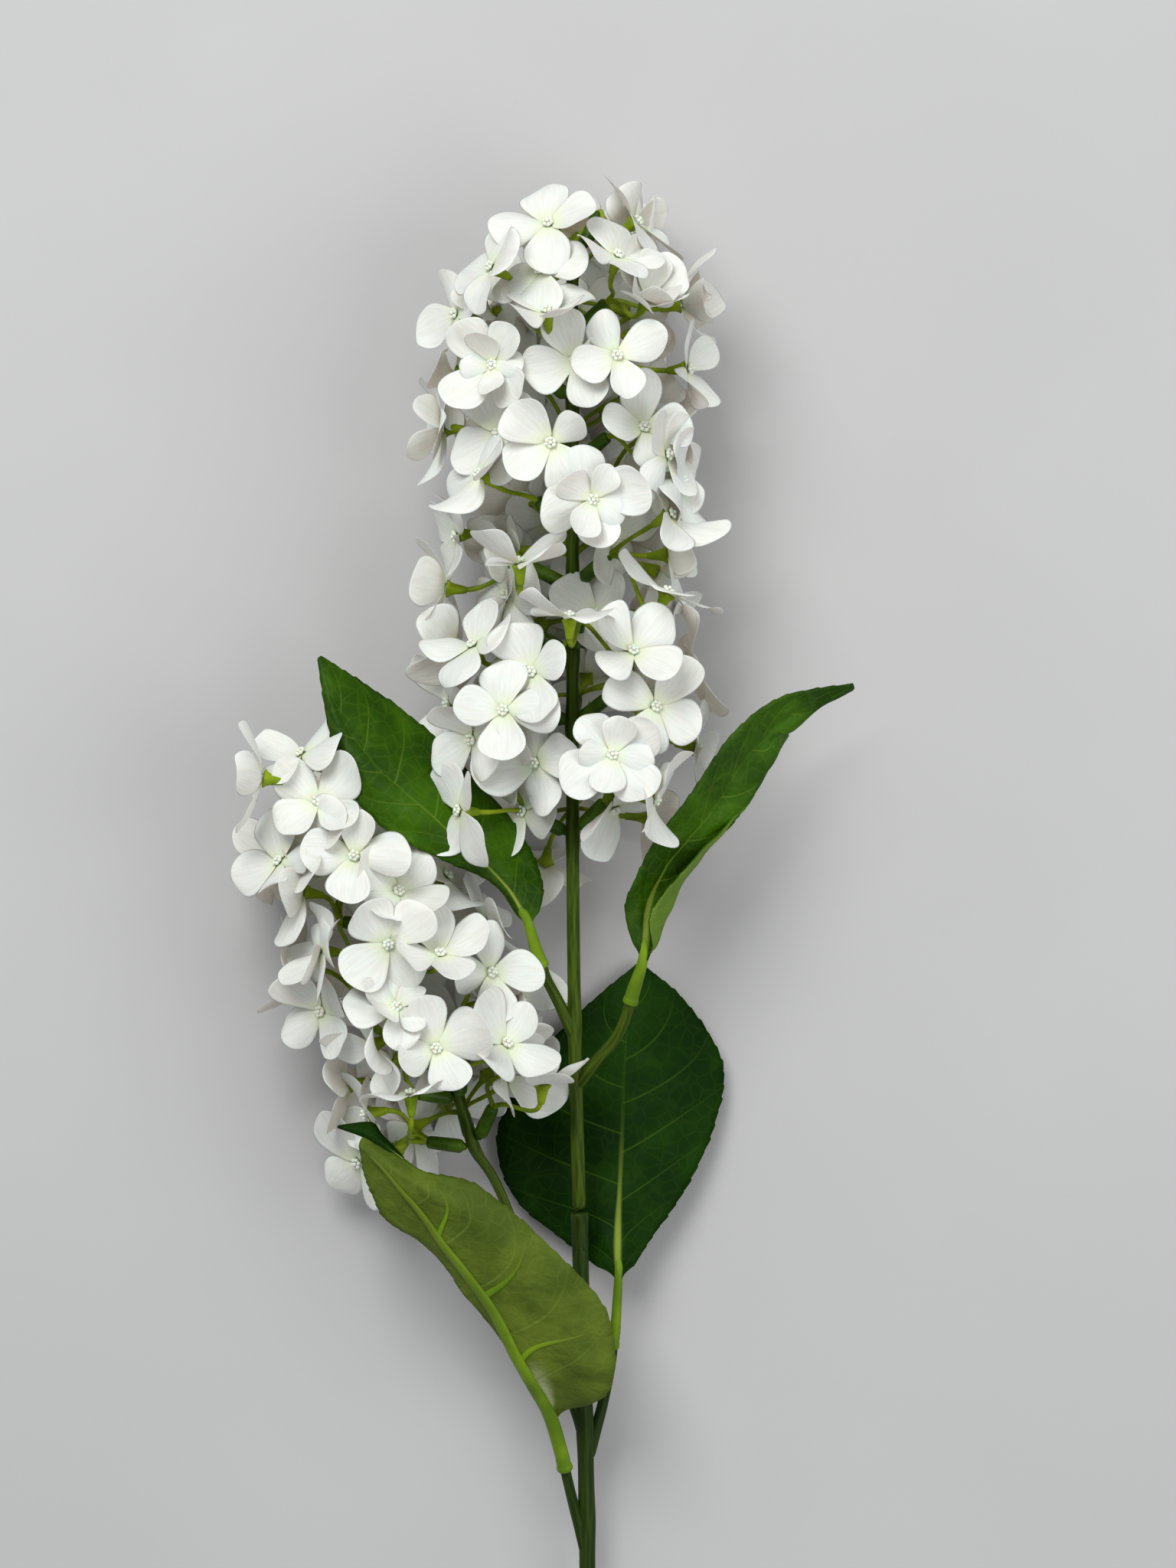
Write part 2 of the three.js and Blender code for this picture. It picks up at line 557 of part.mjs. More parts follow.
function makeSprays(head, firstSeed) {
  let seed = firstSeed;
  return head.sprays.map((spray, i) => {
    const place = socket(head, spray);
    const listed = spray[3];
    const florets = Array.isArray(listed)
      ? listed.map((entry) => placed(head, entry)) : spread(head, place, listed, seed);
    const seeds = florets.map((floret, k) => seed + k);
    seed += florets.length;
    florets.forEach((floret, k) => rest(floret, seeds[k]));
    const number = String(i + 1).padStart(2, '0');
    return { name: `${head.name}_${number}`, head, place, florets, seeds };
  });
}

// The spray's green: its sleeve with the pedicels and calyces.
function green(spray, grow) {
  const { start, direction } = spray.place;
  const from = start.clone().addScaledVector(direction, -grow);
  const tube = straight(from, direction, sleeve.length + 2 * grow, sleeve.radius + 1.5 * grow, sleeve.sides);
  const whole = union([tube, ...spray.florets.map((f) => skin(pedicelRings(spray.place, f, grow, -grow)))]);
  return grow > 0 ? whole : whole.subtract(boreAt(start, direction, sleeve.sides));
}

function near(a, b) {
  const one = a.boundingBox();
  const two = b.boundingBox();
  return [0, 1, 2].every((i) => one.min[i] < two.max[i] && two.min[i] < one.max[i]);
}

const cut = (from, others) => others.filter((o) => near(from, o))
  .reduce((left, other) => left.subtract(other), from);

// The largest connected body of a solid.
const largest = (whole) => whole.decompose().reduce((best, s) => (s.volume() > best.volume() ? s : best));

const sprays = [...makeSprays(mainHead, 1), ...makeSprays(sideHead, 101)];
const pegsOf = (head) => sprays.filter((s) => s.head === head).map((s) => sprayPeg(s.place));

const collarEnd = vec(stemRoute[collarPoint]);
const collarAlong = spline(stemRoute).getTangent(collarPoint / (stemRoute.length - 1));
const alongCollar = (distance) => collarEnd.clone().addScaledVector(collarAlong, distance);
const lowerRoute = stemRoute.slice(0, collarPoint + 1);
const upperRoute = [alongCollar(gap).toArray(), ...stemRoute.slice(collarPoint + 1)];
const wireRoute = stemRoute.slice(0, collarPoint);
const wireBoreRadius = (wireRadius + gap) / Math.cos(Math.PI / 6);

function lowerStem() {
  const outside = union([
    bar(lowerRoute, lowerStemRadius, 8, stemSteps.lower),
    straight(alongCollar(-collar.length), collarAlong, collar.length, collar.radius, 8),
    branch('front'), branch('back'), branch('side'),
  ]);
  const plugHole = straight(alongCollar(-collar.plugLength - 1), collarAlong, collar.plugLength + 2,
    collar.plugRadius + gap + 0.1, 8);
  const boreStart = [0, wireRoute[0][1] - 3, wireRoute[0][2]];
  return outside.subtract(plugHole).subtract(bar([boreStart, ...wireRoute], wireBoreRadius, 6, 10));
}

function upperStem() {
  const plug = straight(alongCollar(-collar.plugLength), collarAlong, collar.plugLength + 2,
    collar.plugRadius, 8);
  return union([bar(upperRoute, upperStemRadius, 8, stemSteps.upper), plug,
    branch('right'), branch('upperLeft'), ...pegsOf(mainHead)]);
}

function sideStem() {
  const end = branchEnd('side');
  const start = end.point.clone().addScaledVector(end.along, gap);
  const route = [start.toArray(), ...sideRoute.slice(1)];
  return union([bar(route, sideStemRadius, 8, stemSteps.side), ...pegsOf(sideHead)])
    .subtract(boreAt(start, end.along, 6));
}

function wireCore() {
  const protruding = [0, wireRoute[0][1] - 1.5, wireRoute[0][2]];
  const end = vec(wireRoute[wireRoute.length - 1]).lerp(vec(wireRoute[wireRoute.length - 2]), 0.1);
  return bar([protruding, ...wireRoute.slice(0, -1), end.toArray()], wireRadius, 6, 10);
}

const group = new THREE.Group();

function addNode(name, shape, colour, roughness, metalness = 0) {
  const { vertProperties, triVerts } = shape.getMesh();
  const geometry = new THREE.BufferGeometry();
  geometry.setAttribute('position', new THREE.BufferAttribute(vertProperties, 3));
  geometry.setIndex(new THREE.BufferAttribute(triVerts, 1));
  geometry.computeVertexNormals();
  const material = new THREE.MeshStandardMaterial({ color: colour, roughness, metalness });
  const mesh = new THREE.Mesh(geometry, material);
  mesh.name = name;
  group.add(mesh);
}

addNode('lower_stem', lowerStem(), colours.lowerStem, 0.45);
addNode('upper_stem', upperStem(), colours.upperStem, 0.5);
addNode('side_stem', sideStem(), colours.upperStem, 0.5);
addNode('wire_core', wireCore(), colours.wire, 0.4, 1);

// What the petals are cut clear of: stems, sleeves and leaves, each swollen by the gap.
const swollen = [
  bar(lowerRoute, lowerStemRadius + gap, 8, stemSteps.lower),
  bar(upperRoute, upperStemRadius + gap, 8, stemSteps.upper),
  bar(sideRoute, sideStemRadius + gap, 8, stemSteps.side),
  ...Object.keys(branches).map((name) => bar(branches[name], branchRadius + gap, 6, 3)),
];
for (const [name, leaf] of Object.entries(leaves)) {
  const plain = name.replace(/[A-Z]/, (letter) => `_${letter.toLowerCase()}`);
  addNode(`leaf_${plain}`, blade(leaf, 0), colours.leafTop, 0.55);
  addNode(`petiole_${plain}`, petioleSleeve(leaf, 0), colours.petiole, 0.45);
  swollen.push(blade(leaf, gap), petioleSleeve(leaf, gap));
}

const swollenGreens = sprays.map((spray) => green(spray, gap));
const swollenFlorets = [];
sprays.forEach((spray, i) => {
  const others = swollenGreens.filter((g, k) => k !== i);
  const florets = (grow) => union(
    spray.florets.map((f, k) => wholeFloret(spray.place, f, spray.seeds[k], grow)),
  );
  const clear = cut(florets(0), [...swollen, ...others, ...swollenFlorets]);
  swollenFlorets.push(florets(gap));
  addNode(spray.name, largest(clear.add(green(spray, 0))), colours.petals, 0.8);
});

export default group;
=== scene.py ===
import math
import random

import bmesh
import bpy
from mathutils import Matrix, Quaternion, Vector, noise


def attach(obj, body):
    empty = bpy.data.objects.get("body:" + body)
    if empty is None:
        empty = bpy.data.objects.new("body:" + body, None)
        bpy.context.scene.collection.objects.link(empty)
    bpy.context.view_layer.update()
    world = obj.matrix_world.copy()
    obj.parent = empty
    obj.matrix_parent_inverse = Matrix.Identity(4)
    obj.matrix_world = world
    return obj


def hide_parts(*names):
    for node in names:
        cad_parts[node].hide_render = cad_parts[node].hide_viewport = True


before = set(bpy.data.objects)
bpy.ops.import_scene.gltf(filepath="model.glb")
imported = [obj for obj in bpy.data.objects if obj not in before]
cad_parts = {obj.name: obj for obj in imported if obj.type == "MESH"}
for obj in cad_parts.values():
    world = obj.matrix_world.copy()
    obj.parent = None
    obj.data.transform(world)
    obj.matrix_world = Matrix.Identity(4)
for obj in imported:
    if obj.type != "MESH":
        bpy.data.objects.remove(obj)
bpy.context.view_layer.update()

mm = 0.001  # the tables below are in millimetres, the scene in metres

# The camera looks straight down on the lying stem.
view = {
    "scale": 0.25,            # millimetres for each pixel of a 1536 x 2048 frame, at the subject
    "width": 1536,
    "height": 2048,
    "originColumn": 767,      # where the part's origin falls in that frame
    "originRow": 2808,
    "subjectHeight": 43,
    "distance": 1600,
    "sensor": 36,
}


def addObject(name, data):
    made = bpy.data.objects.new(name, data)
    bpy.context.scene.collection.objects.link(made)
    return made


camera = addObject("camera", bpy.data.cameras.new("camera"))
camera.data.sensor_width = view["sensor"]
camera.data.lens = view["sensor"] * view["distance"] / (view["height"] * view["scale"])
camera.location = (
    (view["width"] / 2 - view["originColumn"]) * view["scale"] * mm,
    (view["originRow"] - view["height"] / 2) * view["scale"] * mm,
    (view["subjectHeight"] + view["distance"]) * mm,
)
bpy.context.scene.camera = camera
bpy.context.scene.view_settings.view_transform = "Standard"
print("camera placed")

# What the part's source gives, in millimetres: stems, leaves and flower heads.
gap = 0.35  # between a plugged piece and what it is plugged on
stem = {"lowerRadius": 2.75, "upperRadius": 2.35, "sides": 8}
flatAxis = stem["lowerRadius"] * math.cos(math.pi / stem["sides"])  # it lies on one of its flats
stemRoute = [
  [0, -6, flatAxis], [0, 9, flatAxis], [0, 18, flatAxis], [0, 27, flatAxis], [0, 60, 4.2],
  [0, 120, 8], [0, 190, 14], [-1.2, 250, 21], [-2.6, 305, 28], [-4, 360, 34.6], [-4.7, 415, 39.6],
  [-4.8, 470, 41], [-4.8, 550, 42], [-4.8, 622, 42.5],
]
sideRoute = [
  [-5.5, 243, 19.5], [-15, 275, 20], [-29, 312, 24], [-37.3, 326, 27], [-42, 342, 29.5],
  [-49, 359, 31], [-57, 378, 32], [-65, 398, 33], [-73, 418, 33], [-82, 440, 33],
]
branches = {
  "front": [[0, 189, 14], [-2.2, 198, 15.4], [-4.3, 206, 17.6], [-6, 213.4, 21], [-7.2, 219, 23.6]],
  "back": [[0.2, 222, 17.2], [2.6, 231, 17.2], [4.8, 239, 17.4], [7.2, 250, 18], [8.4, 258.6, 19.2]],
  "side": [[-0.4, 226, 18], [-2.4, 234, 18.8], [-5.5, 243, 19.5], [-7.2, 248.7, 19.6]],
  "right": [[-3.8, 346, 33.2], [3, 355.4, 36.6], [8.8, 361.8, 38.6], [12.3, 368.8, 41], [13.8, 374, 43]],
  "upperLeft": [[-4.2, 363, 35.2], [-8.8, 373.4, 38], [-13, 381.6, 40.8], [-14.6, 386, 42.8]],
}
leaves = {
  "back": {
    # "faces" is 1 where the leaf shows its upper side, and its midrib follows the second rail
    "faces": 1, "sleeveRadius": 1.95, "ribWidth": 1.5, "ribProud": 0.5, "crumple": 0.5,
    # its top colour is the shaded copy, painted darker for its shade
    "over": "leafShade", "under": "leafUnder",
    "rails": [
      [[7.3, 283, 21.6], [-6, 293, 14], [-24, 308, 9], [-30, 329, 6.5], [-19, 352, 6], [-1, 371, 5.5],
        [16, 385.4, 4.4]],
      [[10.3, 282.5, 23], [10.2, 298, 19], [11, 315.5, 15.5], [11.8, 335, 12], [12.4, 352, 9],
        [14, 370, 6.4], [17.5, 386.4, 4.4]],
      [[13.4, 283, 22.6], [21, 295, 16], [33, 312, 12], [42.5, 333, 9], [45, 353, 7], [33, 373, 6],
        [19, 385.4, 4.4]],
    ],
  },
  "front": {
    "faces": -1, "sleeveRadius": 2.5, "ribWidth": 2.8, "ribProud": 0.15, "crumple": 1.1,
    "over": "leafShade", "under": "leafUnder",
    # each side rib's line on the blade, places along and across it, and its radius
    "sideRibs": [
      [[[0.15, 0.25], [0.24, 0.52], [0.29, 0.84]], 1.7],
      [[[0.37, 0.32], [0.43, 0.55], [0.53, 0.88]], 1.8],
      [[[0.57, 0.335], [0.65, 0.52], [0.76, 0.76]], 1.2],
    ],
    "rails": [
      [[-14.8, 238.4, 29.6], [-24.3, 258.3, 42], [-38.3, 278.5, 48], [-52, 295.5, 51], [-65, 304.5, 53],
        [-71, 316, 55], [-73.6, 327.6, 56]],
      [[-11.5, 237.2, 30.4], [-21, 256.6, 45.4], [-30.5, 275.5, 52], [-43, 293, 56], [-54.5, 308.5, 59],
        [-64, 320, 60], [-73.8, 329, 57.5]],
      [[-8.6, 238.4, 31.6], [-5, 254, 50], [-12, 273.5, 56], [-26, 293, 61], [-41, 309, 64],
        [-57, 318.6, 62], [-73.6, 330.4, 57]],
      [[-6, 240, 33.4], [7.4, 249.5, 50], [6.6, 274, 55], [-11.5, 296, 60], [-36, 316.6, 61],
        [-53, 321, 58], [-72.8, 331.6, 56]],
    ],
    # the leaf's tip is folded back and shows its upper side: the fold's line and the flap's edge
    "flap": [
      [[-58, 323, 56], [-64, 326, 55.5], [-69, 329, 55.5], [-73, 331.6, 54.5], [-81, 334.5, 52.5]],
      [[-59.6, 325, 55], [-63.2, 328.8, 53.6], [-67, 332.6, 52.6], [-70.2, 336.2, 52], [-81, 335, 52]],
    ],
  },
  "right": {
    "faces": 1, "sleeveRadius": 2.4, "ribWidth": 1.8, "ribProud": 0.5, "crumple": 0.9,
    # its top and underside colours are the lit copies, painted lighter
    "over": "leafTopPaintedLight", "under": "leafUnderPaintedLight",
    "waist": (0.76, 0.03, 0.5),  # where its outer side is pinched, how far along and how much
    "rails": [
      [[16.4, 388.8, 48.4], [12.6, 406, 54], [20.5, 425, 60], [33.5, 443, 62], [46.5, 461.6, 61],
        [63, 474, 56], [86.6, 478.8, 46]],
      [[18.3, 388.6, 49], [19.5, 406, 51], [27, 421, 54], [40.5, 437, 55], [52, 455, 54],
        [66.5, 469, 51], [87, 477.8, 45]],
      [[20.3, 388.4, 49.2], [26.5, 403.4, 50], [34, 419, 51], [47, 433.6, 50], [58, 449.5, 49],
        [69, 465.6, 47.6], [87, 477.2, 44.2]],
      [[21.6, 388.8, 50.4], [21.2, 405, 56], [35.6, 423, 57], [52.4, 440, 49], [63, 458, 45],
        [73, 470.6, 45], [86.6, 476.6, 43.4]],
    ],
  },
  "upperLeft": {
    "faces": 1, "sleeveRadius": 2.3, "ribWidth": 1.7, "ribProud": 0.5, "crumple": 0.9,
    # its top and underside colours are the lit copies, painted lighter
    "over": "leafTopPaintedLight", "under": "leafUnderPaintedLight",
    "rails": [
      [[-21, 399.8, 49.4], [-30.5, 413.6, 51], [-49, 422.5, 56], [-65, 431, 58], [-78, 446, 58],
        [-83.6, 464, 56], [-87.6, 486.4, 51]],
      [[-18.8, 400.4, 50.4], [-27, 413.5, 52], [-43, 429, 56], [-58.5, 443, 58], [-71, 455, 58],
        [-80, 469, 56], [-87.2, 487.2, 51]],
      [[-16.6, 400, 49.4], [-14.6, 414, 46], [-22.5, 431, 44], [-38, 449.5, 43], [-53.5, 464.5, 44],
        [-70.5, 477, 46.5], [-86.6, 487.6, 50.4]],
    ],
  },
}
# Each spray: its height, direction and steepness, then its florets one by one as x, y, layer, yaw,
# pitch, roll and lift, or how many the rule for the back places. Those with a pitch near 80, and the
# one at 26, 508, look further up or aside than their solids do.
mainHead = {
  "name": "main_spray", "route": stemRoute, "layers": [39, 32, 25], "tops": [612, 22],
  "sprays": [
    [429, -80, 62, [
      [-41.5, 437.5, 0, -60, 5, 40, 8], [-37.5, 460.6, 0, -35, -20, 20], [-17, 453, 2, -30, -10, 10]]],
    [429, 55, 48, [[8, 455.5, 0, 5, 5, 35], [22, 441, 0, 78, -8, 20], [9, 438, 2, 40, -60, 0]]],
    [429, 180, 60, [[-14, 419, 2, -165, -55, 20], [4, 446, 1, 170, 10, 40]]],
    [465, -70, 62, [[-27, 469.8, 0, -15, 0, 0], [-45.6, 472.5, 1, -80, 0, 30], [-24, 452, 2, -40, -25, 45]]],
    [465, 60, 55, [[22, 471, 0, 25, 8, 60], [36, 458, 1, 85, -10, 0]]],
    [467, 175, 62, 2],
    [488, -100, 60, [[-37, 491, 0, -40, 48, 10], [-44, 490, 1, -120, 10, 40]]],
    [488, 10, 50, [[-5.6, 499.5, 0, 0, 82, 30], [14.7, 488.7, 0, 10, 36, 45], [-18, 482, 1, -20, 10, 20]]],
    [490, 125, 60, [[34, 486, 0, 95, 5, 0]]],
    [510, -75, 64, [
      [-21.8, 517, 0, -25, 80, 40], [-46.8, 510, 0, -88, 5, 10], [-42.8, 527, 1, -70, -12, 50]]],
    [510, 70, 50, [[26, 508, 0, 70, 62, 20], [27, 521, 1, 80, 5, 0], [27, 533, 0, 65, 28, 40]]],
    [512, 180, 60, 2],
    [530, -60, 58, [[-35, 546, 0, -55, 30, 0]]],
    [530, 25, 55, [[1.8, 537, 0, 10, -14, 15], [31, 544, 0, 70, 12, 30]]],
    [532, 140, 60, 2],
    [550, -45, 62, [[-11.6, 555, 0, -8, -6, 38], [-28.8, 559, 1, -28, 5, 20], [-47.5, 562, 0, -85, 0, 0]]],
    [550, 60, 55, [[18.4, 561, 1, 15, 20, 10], [26, 552, 0, 60, 10, 50]]],
    [552, 185, 60, 2],
    [571, -50, 58, [[-30.5, 580.6, 0, -22, 0, 45], [-3.8, 582, 1, -5, 0, 20], [-44, 580, 1, -105, 5, 10]]],
    [571, 60, 52, [[9.5, 583, 0, 12, 6, 20], [33, 581, 0, 72, 5, 40]]],
    [573, 160, 58, 2],
    [592, -75, 54, [[-43, 599, 0, -55, 6, 25], [-13, 597, 0, -10, 55, 40], [-31, 612, 0, -60, 25, 0]]],
    [592, 60, 50, [[19.6, 602, 0, 30, 40, 25], [10, 615, 0, 25, 50, 0], [31, 603, 1, 90, 15, 10]]],
    [594, 185, 52, 2],
    [613, -60, 28, [[-15, 611, 1, -40, 22, 15], [-12.6, 626, 0, -15, 32, 10]]],
    [613, 120, 26, [[16, 628, 0, 80, 36, 30], [-3, 627, 2, 170, 50, 0]]],
  ],
}
sideHead = {
  "name": "side_spray", "route": sideRoute, "layers": [33, 27, 20], "tops": [446, 14],
  "sprays": [
    [326, -92, 60, [[-76, 321, 0, -40, -22, 30], [-72.5, 338, 0, -80, -10, 20], [-57, 346, 0, -10, 80, 40]]],
    [326, 70, 48, [[-14.5, 349, 0, 20, 78, 10], [-26, 350, 2, 60, 15, 45]]],
    [328, 180, 62, 2],
    [342, -65, 60, [[-70, 361, 0, -62, -25, 0], [-79, 347, 1, -100, -10, 20]]],
    [342, 20, 50, [[-48.6, 361, 0, 0, 0, 20], [-26, 362, 0, 25, 30, 50]]],
    [344, 155, 60, 2],
    [359, -60, 58, [[-61.4, 374, 0, 10, 35, 0], [-87, 372, 0, -30, -5, 30], [-95, 386, 1, -90, 5, 10]]],
    [359, 70, 55, [[-31, 385, 0, 25, 0, 0], [-21, 374, 1, 70, 0, 30]]],
    [378, 180, 60, 2],
    [378, 5, 55, [[-64, 394.5, 0, 5, -10, 40], [-47.5, 391.5, 0, 15, 45, 10]]],
    [398, -80, 58, [[-86.6, 392, 0, -75, 5, 20], [-93, 411, 1, -70, 10, 0]]],
    [398, 70, 55, [[-61, 411.5, 1, 20, 20, 50], [-32, 401, 2, 80, 30, 10], [-46, 416, 2, 60, 40, 0]]],
    [418, 180, 58, 3],
    [418, -10, 50, [[-75, 423, 0, -5, 5, 0], [-90, 426, 1, -50, 10, 30]]],
    [434, -65, 48, [[-100, 421, 0, -50, 32, 20], [-105.5, 448, 0, -80, 10, 0]]],
    [436, 40, 34, [[-87, 440.5, 1, -5, 20, 45], [-93, 456, 1, -60, 45, 10]]],
  ],
}
sleeve = {
  "length": 11, "radius": 2.6, "sides": 12,
  # distances from its start and the radii there, from inside the stem to the end that holds the pedicels
  "outline": ((-2.4, 1.2), (-1.2, 1.25), (-0.7, 2.0), (-0.3, 2.4), (0.6, 2.5), (9.6, 2.3), (10.6, 2.2),
              (11.0, 1.7), (11.2, 0.9)),
}
petal = {"notch": 3.6, "dish": 0.4, "thickness": 0.85, "corners": [[12.9, -7.5], [16, 6]]}


def spline(points):
    # the smooth curve through the points, t from 0 to 1
    knots = [Vector(p) for p in points]
    last = len(knots) - 1

    def at(t):
        place = last * t
        i = min(int(place), last - 1)
        w = place - i
        before = knots[i - 1] if i > 0 else 2 * knots[0] - knots[1]
        after = knots[i + 2] if i + 2 <= last else 2 * knots[last] - knots[last - 1]
        a, b = knots[i], knots[i + 1]
        rise, fall = 0.5 * (b - before), 0.5 * (after - a)
        bend = 3 * (b - a) - 2 * rise - fall
        return a + rise * w + bend * w ** 2 + (2 * (a - b) + rise + fall) * w ** 3

    return at


def tangent(curve, t):
    return (curve(min(t + 1e-3, 1)) - curve(max(t - 1e-3, 0))).normalized()


drawSteps = (0.8191725, 0.6710436, 0.5497005)


def draw(n, k):
    # the n-th of one of three even, repeatable rows of draws
    return (n * drawSteps[k]) % 1


def atHeight(route, y):
    curve = spline(route)
    low, high = 0.0, 1.0
    for _ in range(30):  # halvings, far finer than a hair
        middle = (low + high) / 2
        if curve(middle).y < y:
            low = middle
        else:
            high = middle
    return curve(low), tangent(curve, low)


def faceTo(yaw, pitch):
    yaw, pitch = math.radians(yaw), math.radians(pitch)
    return Vector((math.sin(yaw) * math.cos(pitch), math.sin(pitch), math.cos(yaw) * math.cos(pitch)))


# Where the sprays and florets are, by the source's own rules.


def socket(head, height, azimuth, steepness):
    point, along = atHeight(head["route"], height)
    out = faceTo(azimuth, 0)
    out = (out - along * out.dot(along)).normalized()
    lean = math.radians(steepness)
    direction = along * math.cos(lean) + out * math.sin(lean)
    clear = (stem["upperRadius"] + gap + sleeve["radius"] * math.cos(lean)) / math.sin(lean)
    start = point + direction * clear
    return {"point": point, "along": along, "out": out, "direction": direction,
            "start": start, "end": start + direction * sleeve["length"]}


backRule = {
    "turn": 0.95, "turnDraw": 0.3,                # radians between a spray's florets
    "rise": 13, "riseStep": 13, "riseDraw": 6,    # up the stem
    "liftDraw": 0.5, "droop": 0.1, "roll": 90,
}


def spread(head, place, count, seed):
    side = place["along"].cross(place["out"])
    florets = []
    for i in range(count):
        turn = (i - (count - 1) / 2) * backRule["turn"] + (draw(seed + i, 0) - 0.5) * backRule["turnDraw"]
        rise = backRule["rise"] + backRule["riseStep"] * ((i + seed) % 2)
        rise += backRule["riseDraw"] * draw(seed + i, 1)
        facing = place["out"] * math.cos(turn) + side * math.sin(turn)
        centre = place["point"] + facing * head["layers"][(i + seed) % 2] + place["along"] * rise
        lift = backRule["liftDraw"] * draw(seed + i, 2) - backRule["droop"]
        facing = (facing + place["along"] * lift).normalized()
        florets.append({"centre": centre, "facing": facing, "roll": backRule["roll"] * draw(seed + i, 2)})
    return florets


headShape = {"narrowest": 0.06, "behindYaw": 95}  # the least share of depth at the top, and what faces back


def placed(head, x, y, layer, yaw, pitch, roll, lift=0):
    point, along = atHeight(head["route"], y)
    offset = Vector((x - point.x, y - point.y, 0))
    across = (offset - along * offset.dot(along)).length
    topStart, topLength = head["tops"]
    narrowing = max(1 - min(1, max(0, (y - topStart) / topLength)) ** 2, headShape["narrowest"])
    reach = math.sqrt(max(0, head["layers"][layer] ** 2 * narrowing - across ** 2))
    side = -1 if abs(yaw) > headShape["behindYaw"] else 1
    centre = Vector((x, y, point.z + side * reach + lift))
    return {"centre": centre, "facing": faceTo(yaw, pitch), "roll": roll}


def floretAxes(floret):
    facing = floret["facing"]
    up = Vector((0, 1, 0)) if abs(facing.y) < 0.9 else Vector((0, 0, -1))
    first = (up - facing * up.dot(facing)).normalized()
    first.rotate(Quaternion(facing, math.radians(floret["roll"])))
    return first, facing.cross(first)


petalSpread = {"bend": 4, "bendDraw": 30, "bendMiddle": 0.4, "size": 0.94, "sizeDraw": 0.14, "turnDraw": 10}


def petalDraws(seed, k):
    # each petal's bend, size and direction within its floret
    n = seed * 4 + k
    bend = petalSpread["bend"] + petalSpread["bendDraw"] * (draw(n, 1) - petalSpread["bendMiddle"])
    size = petalSpread["size"] + petalSpread["sizeDraw"] * draw(n, 0)
    angle = 90 * k + petalSpread["turnDraw"] * (draw(n, 2) - 0.5)
    return math.radians(bend), size, math.radians(angle)


def restOnFloor(floret):
    # a floret that would go below the floor is raised until its lowest corner touches it
    first, second = floretAxes(floret)
    facing = floret["facing"]
    lowest = math.inf
    for k in range(4):
        bend, size, angle = petalDraws(floret["seed"], k)
        out = first * math.cos(angle) + second * math.sin(angle)
        side = facing.cross(out)
        cleft = math.radians(90 * k - 45)
        notchAt = (first * math.cos(cleft) + second * math.sin(cleft)) * petal["notch"]
        notchAt += facing * petal["dish"]
        lowest = min(lowest, notchAt.z)
        for along, across in petal["corners"]:
            beyond = along * size - petal["notch"]
            corner = out * (petal["notch"] + beyond * math.cos(bend)) + facing * beyond * math.sin(bend)
            lowest = min(lowest, (corner + side * across * size).z)
    need = petal["thickness"] * max(facing.z, 0) - lowest - floret["centre"].z
    if need > 0:
        floret["centre"].z += need


filling = {
    "full": 5, "highest": 0.35, "turn": 1.1, "reach": (0.5, 0.78), "rise": (5, 24), "top": 626,
    "above": 4,  # millimetres over the stem, so that they hide no pedicels from the front
    "turnDraw": 0.35, "alongDraw": 0.5, "sideDraw": 0.4, "firstSeed": 1000,
}


def innerFlorets(head, place, count, seed):
    # small florets close to the stem, which make each spray up to a full one
    chance = random.Random(seed)
    side = place["along"].cross(place["out"])
    florets = []
    if place["out"].z > filling["highest"]:  # the sprays towards the viewer are full already
        return florets
    for i in range(filling["full"] - count):
        turn = (i - (filling["full"] - count - 1) / 2) * filling["turn"]
        turn += chance.uniform(-filling["turnDraw"], filling["turnDraw"])
        facing = place["out"] * math.cos(turn) + side * math.sin(turn)
        reach = head["layers"][0] * chance.uniform(*filling["reach"])
        centre = place["point"] + facing * reach + place["along"] * chance.uniform(*filling["rise"])
        centre.y = min(centre.y, filling["top"])
        centre.z = min(centre.z, place["point"].z + filling["above"])
        facing += place["along"] * chance.uniform(-filling["alongDraw"], filling["alongDraw"])
        facing += side * chance.uniform(-filling["sideDraw"], filling["sideDraw"])
        facing.normalize()
        floret = {"centre": centre, "facing": facing, "roll": chance.uniform(0, 90), "seed": seed + i}
        restOnFloor(floret)
        florets.append(floret)
    return florets


def layOut(head, firstSeed):
    seed = firstSeed
    sprays = []
    for number, (height, azimuth, steepness, listed) in enumerate(head["sprays"], 1):
        place = socket(head, height, azimuth, steepness)
        if isinstance(listed, int):
            florets = spread(head, place, listed, seed)
        else:
            florets = [placed(head, *entry) for entry in listed]
        for k, floret in enumerate(florets):
            floret["seed"] = seed + k
            restOnFloor(floret)
        seed += len(florets)
        florets += innerFlorets(head, place, len(florets), filling["firstSeed"] + seed)
        sprays.append({"node": f"{head['name']}_{number:02d}", "place": place, "florets": florets})
    return sprays


def newMaterial(name, roughness, **settings):
    material = bpy.data.materials.new(name)
    material.use_nodes = True
    tree = material.node_tree
    shader = tree.nodes["Principled BSDF"]
    shader.inputs["Roughness"].default_value = roughness
    for socketName, value in settings.items():
        shader.inputs[socketName.replace("_", " ")].default_value = value
    return material, tree, shader


def addMath(tree, operation, first, second=0.0, third=0.0):
    node = tree.nodes.new("ShaderNodeMath")
    node.operation = operation
    for i, value in enumerate((first, second, third)):
        if isinstance(value, (int, float)):
            node.inputs[i].default_value = value
        else:
            tree.links.new(value, node.inputs[i])
    return node.outputs[0]


def addMix(tree, factor, first, second):
    node = tree.nodes.new("ShaderNodeMix")
    node.data_type = "RGBA"
    for index, value in ((0, factor), (6, first), (7, second)):
        if isinstance(value, tuple):
            node.inputs[index].default_value = (*value, 1)
        else:
            tree.links.new(value, node.inputs[index])
    return node.outputs[2]


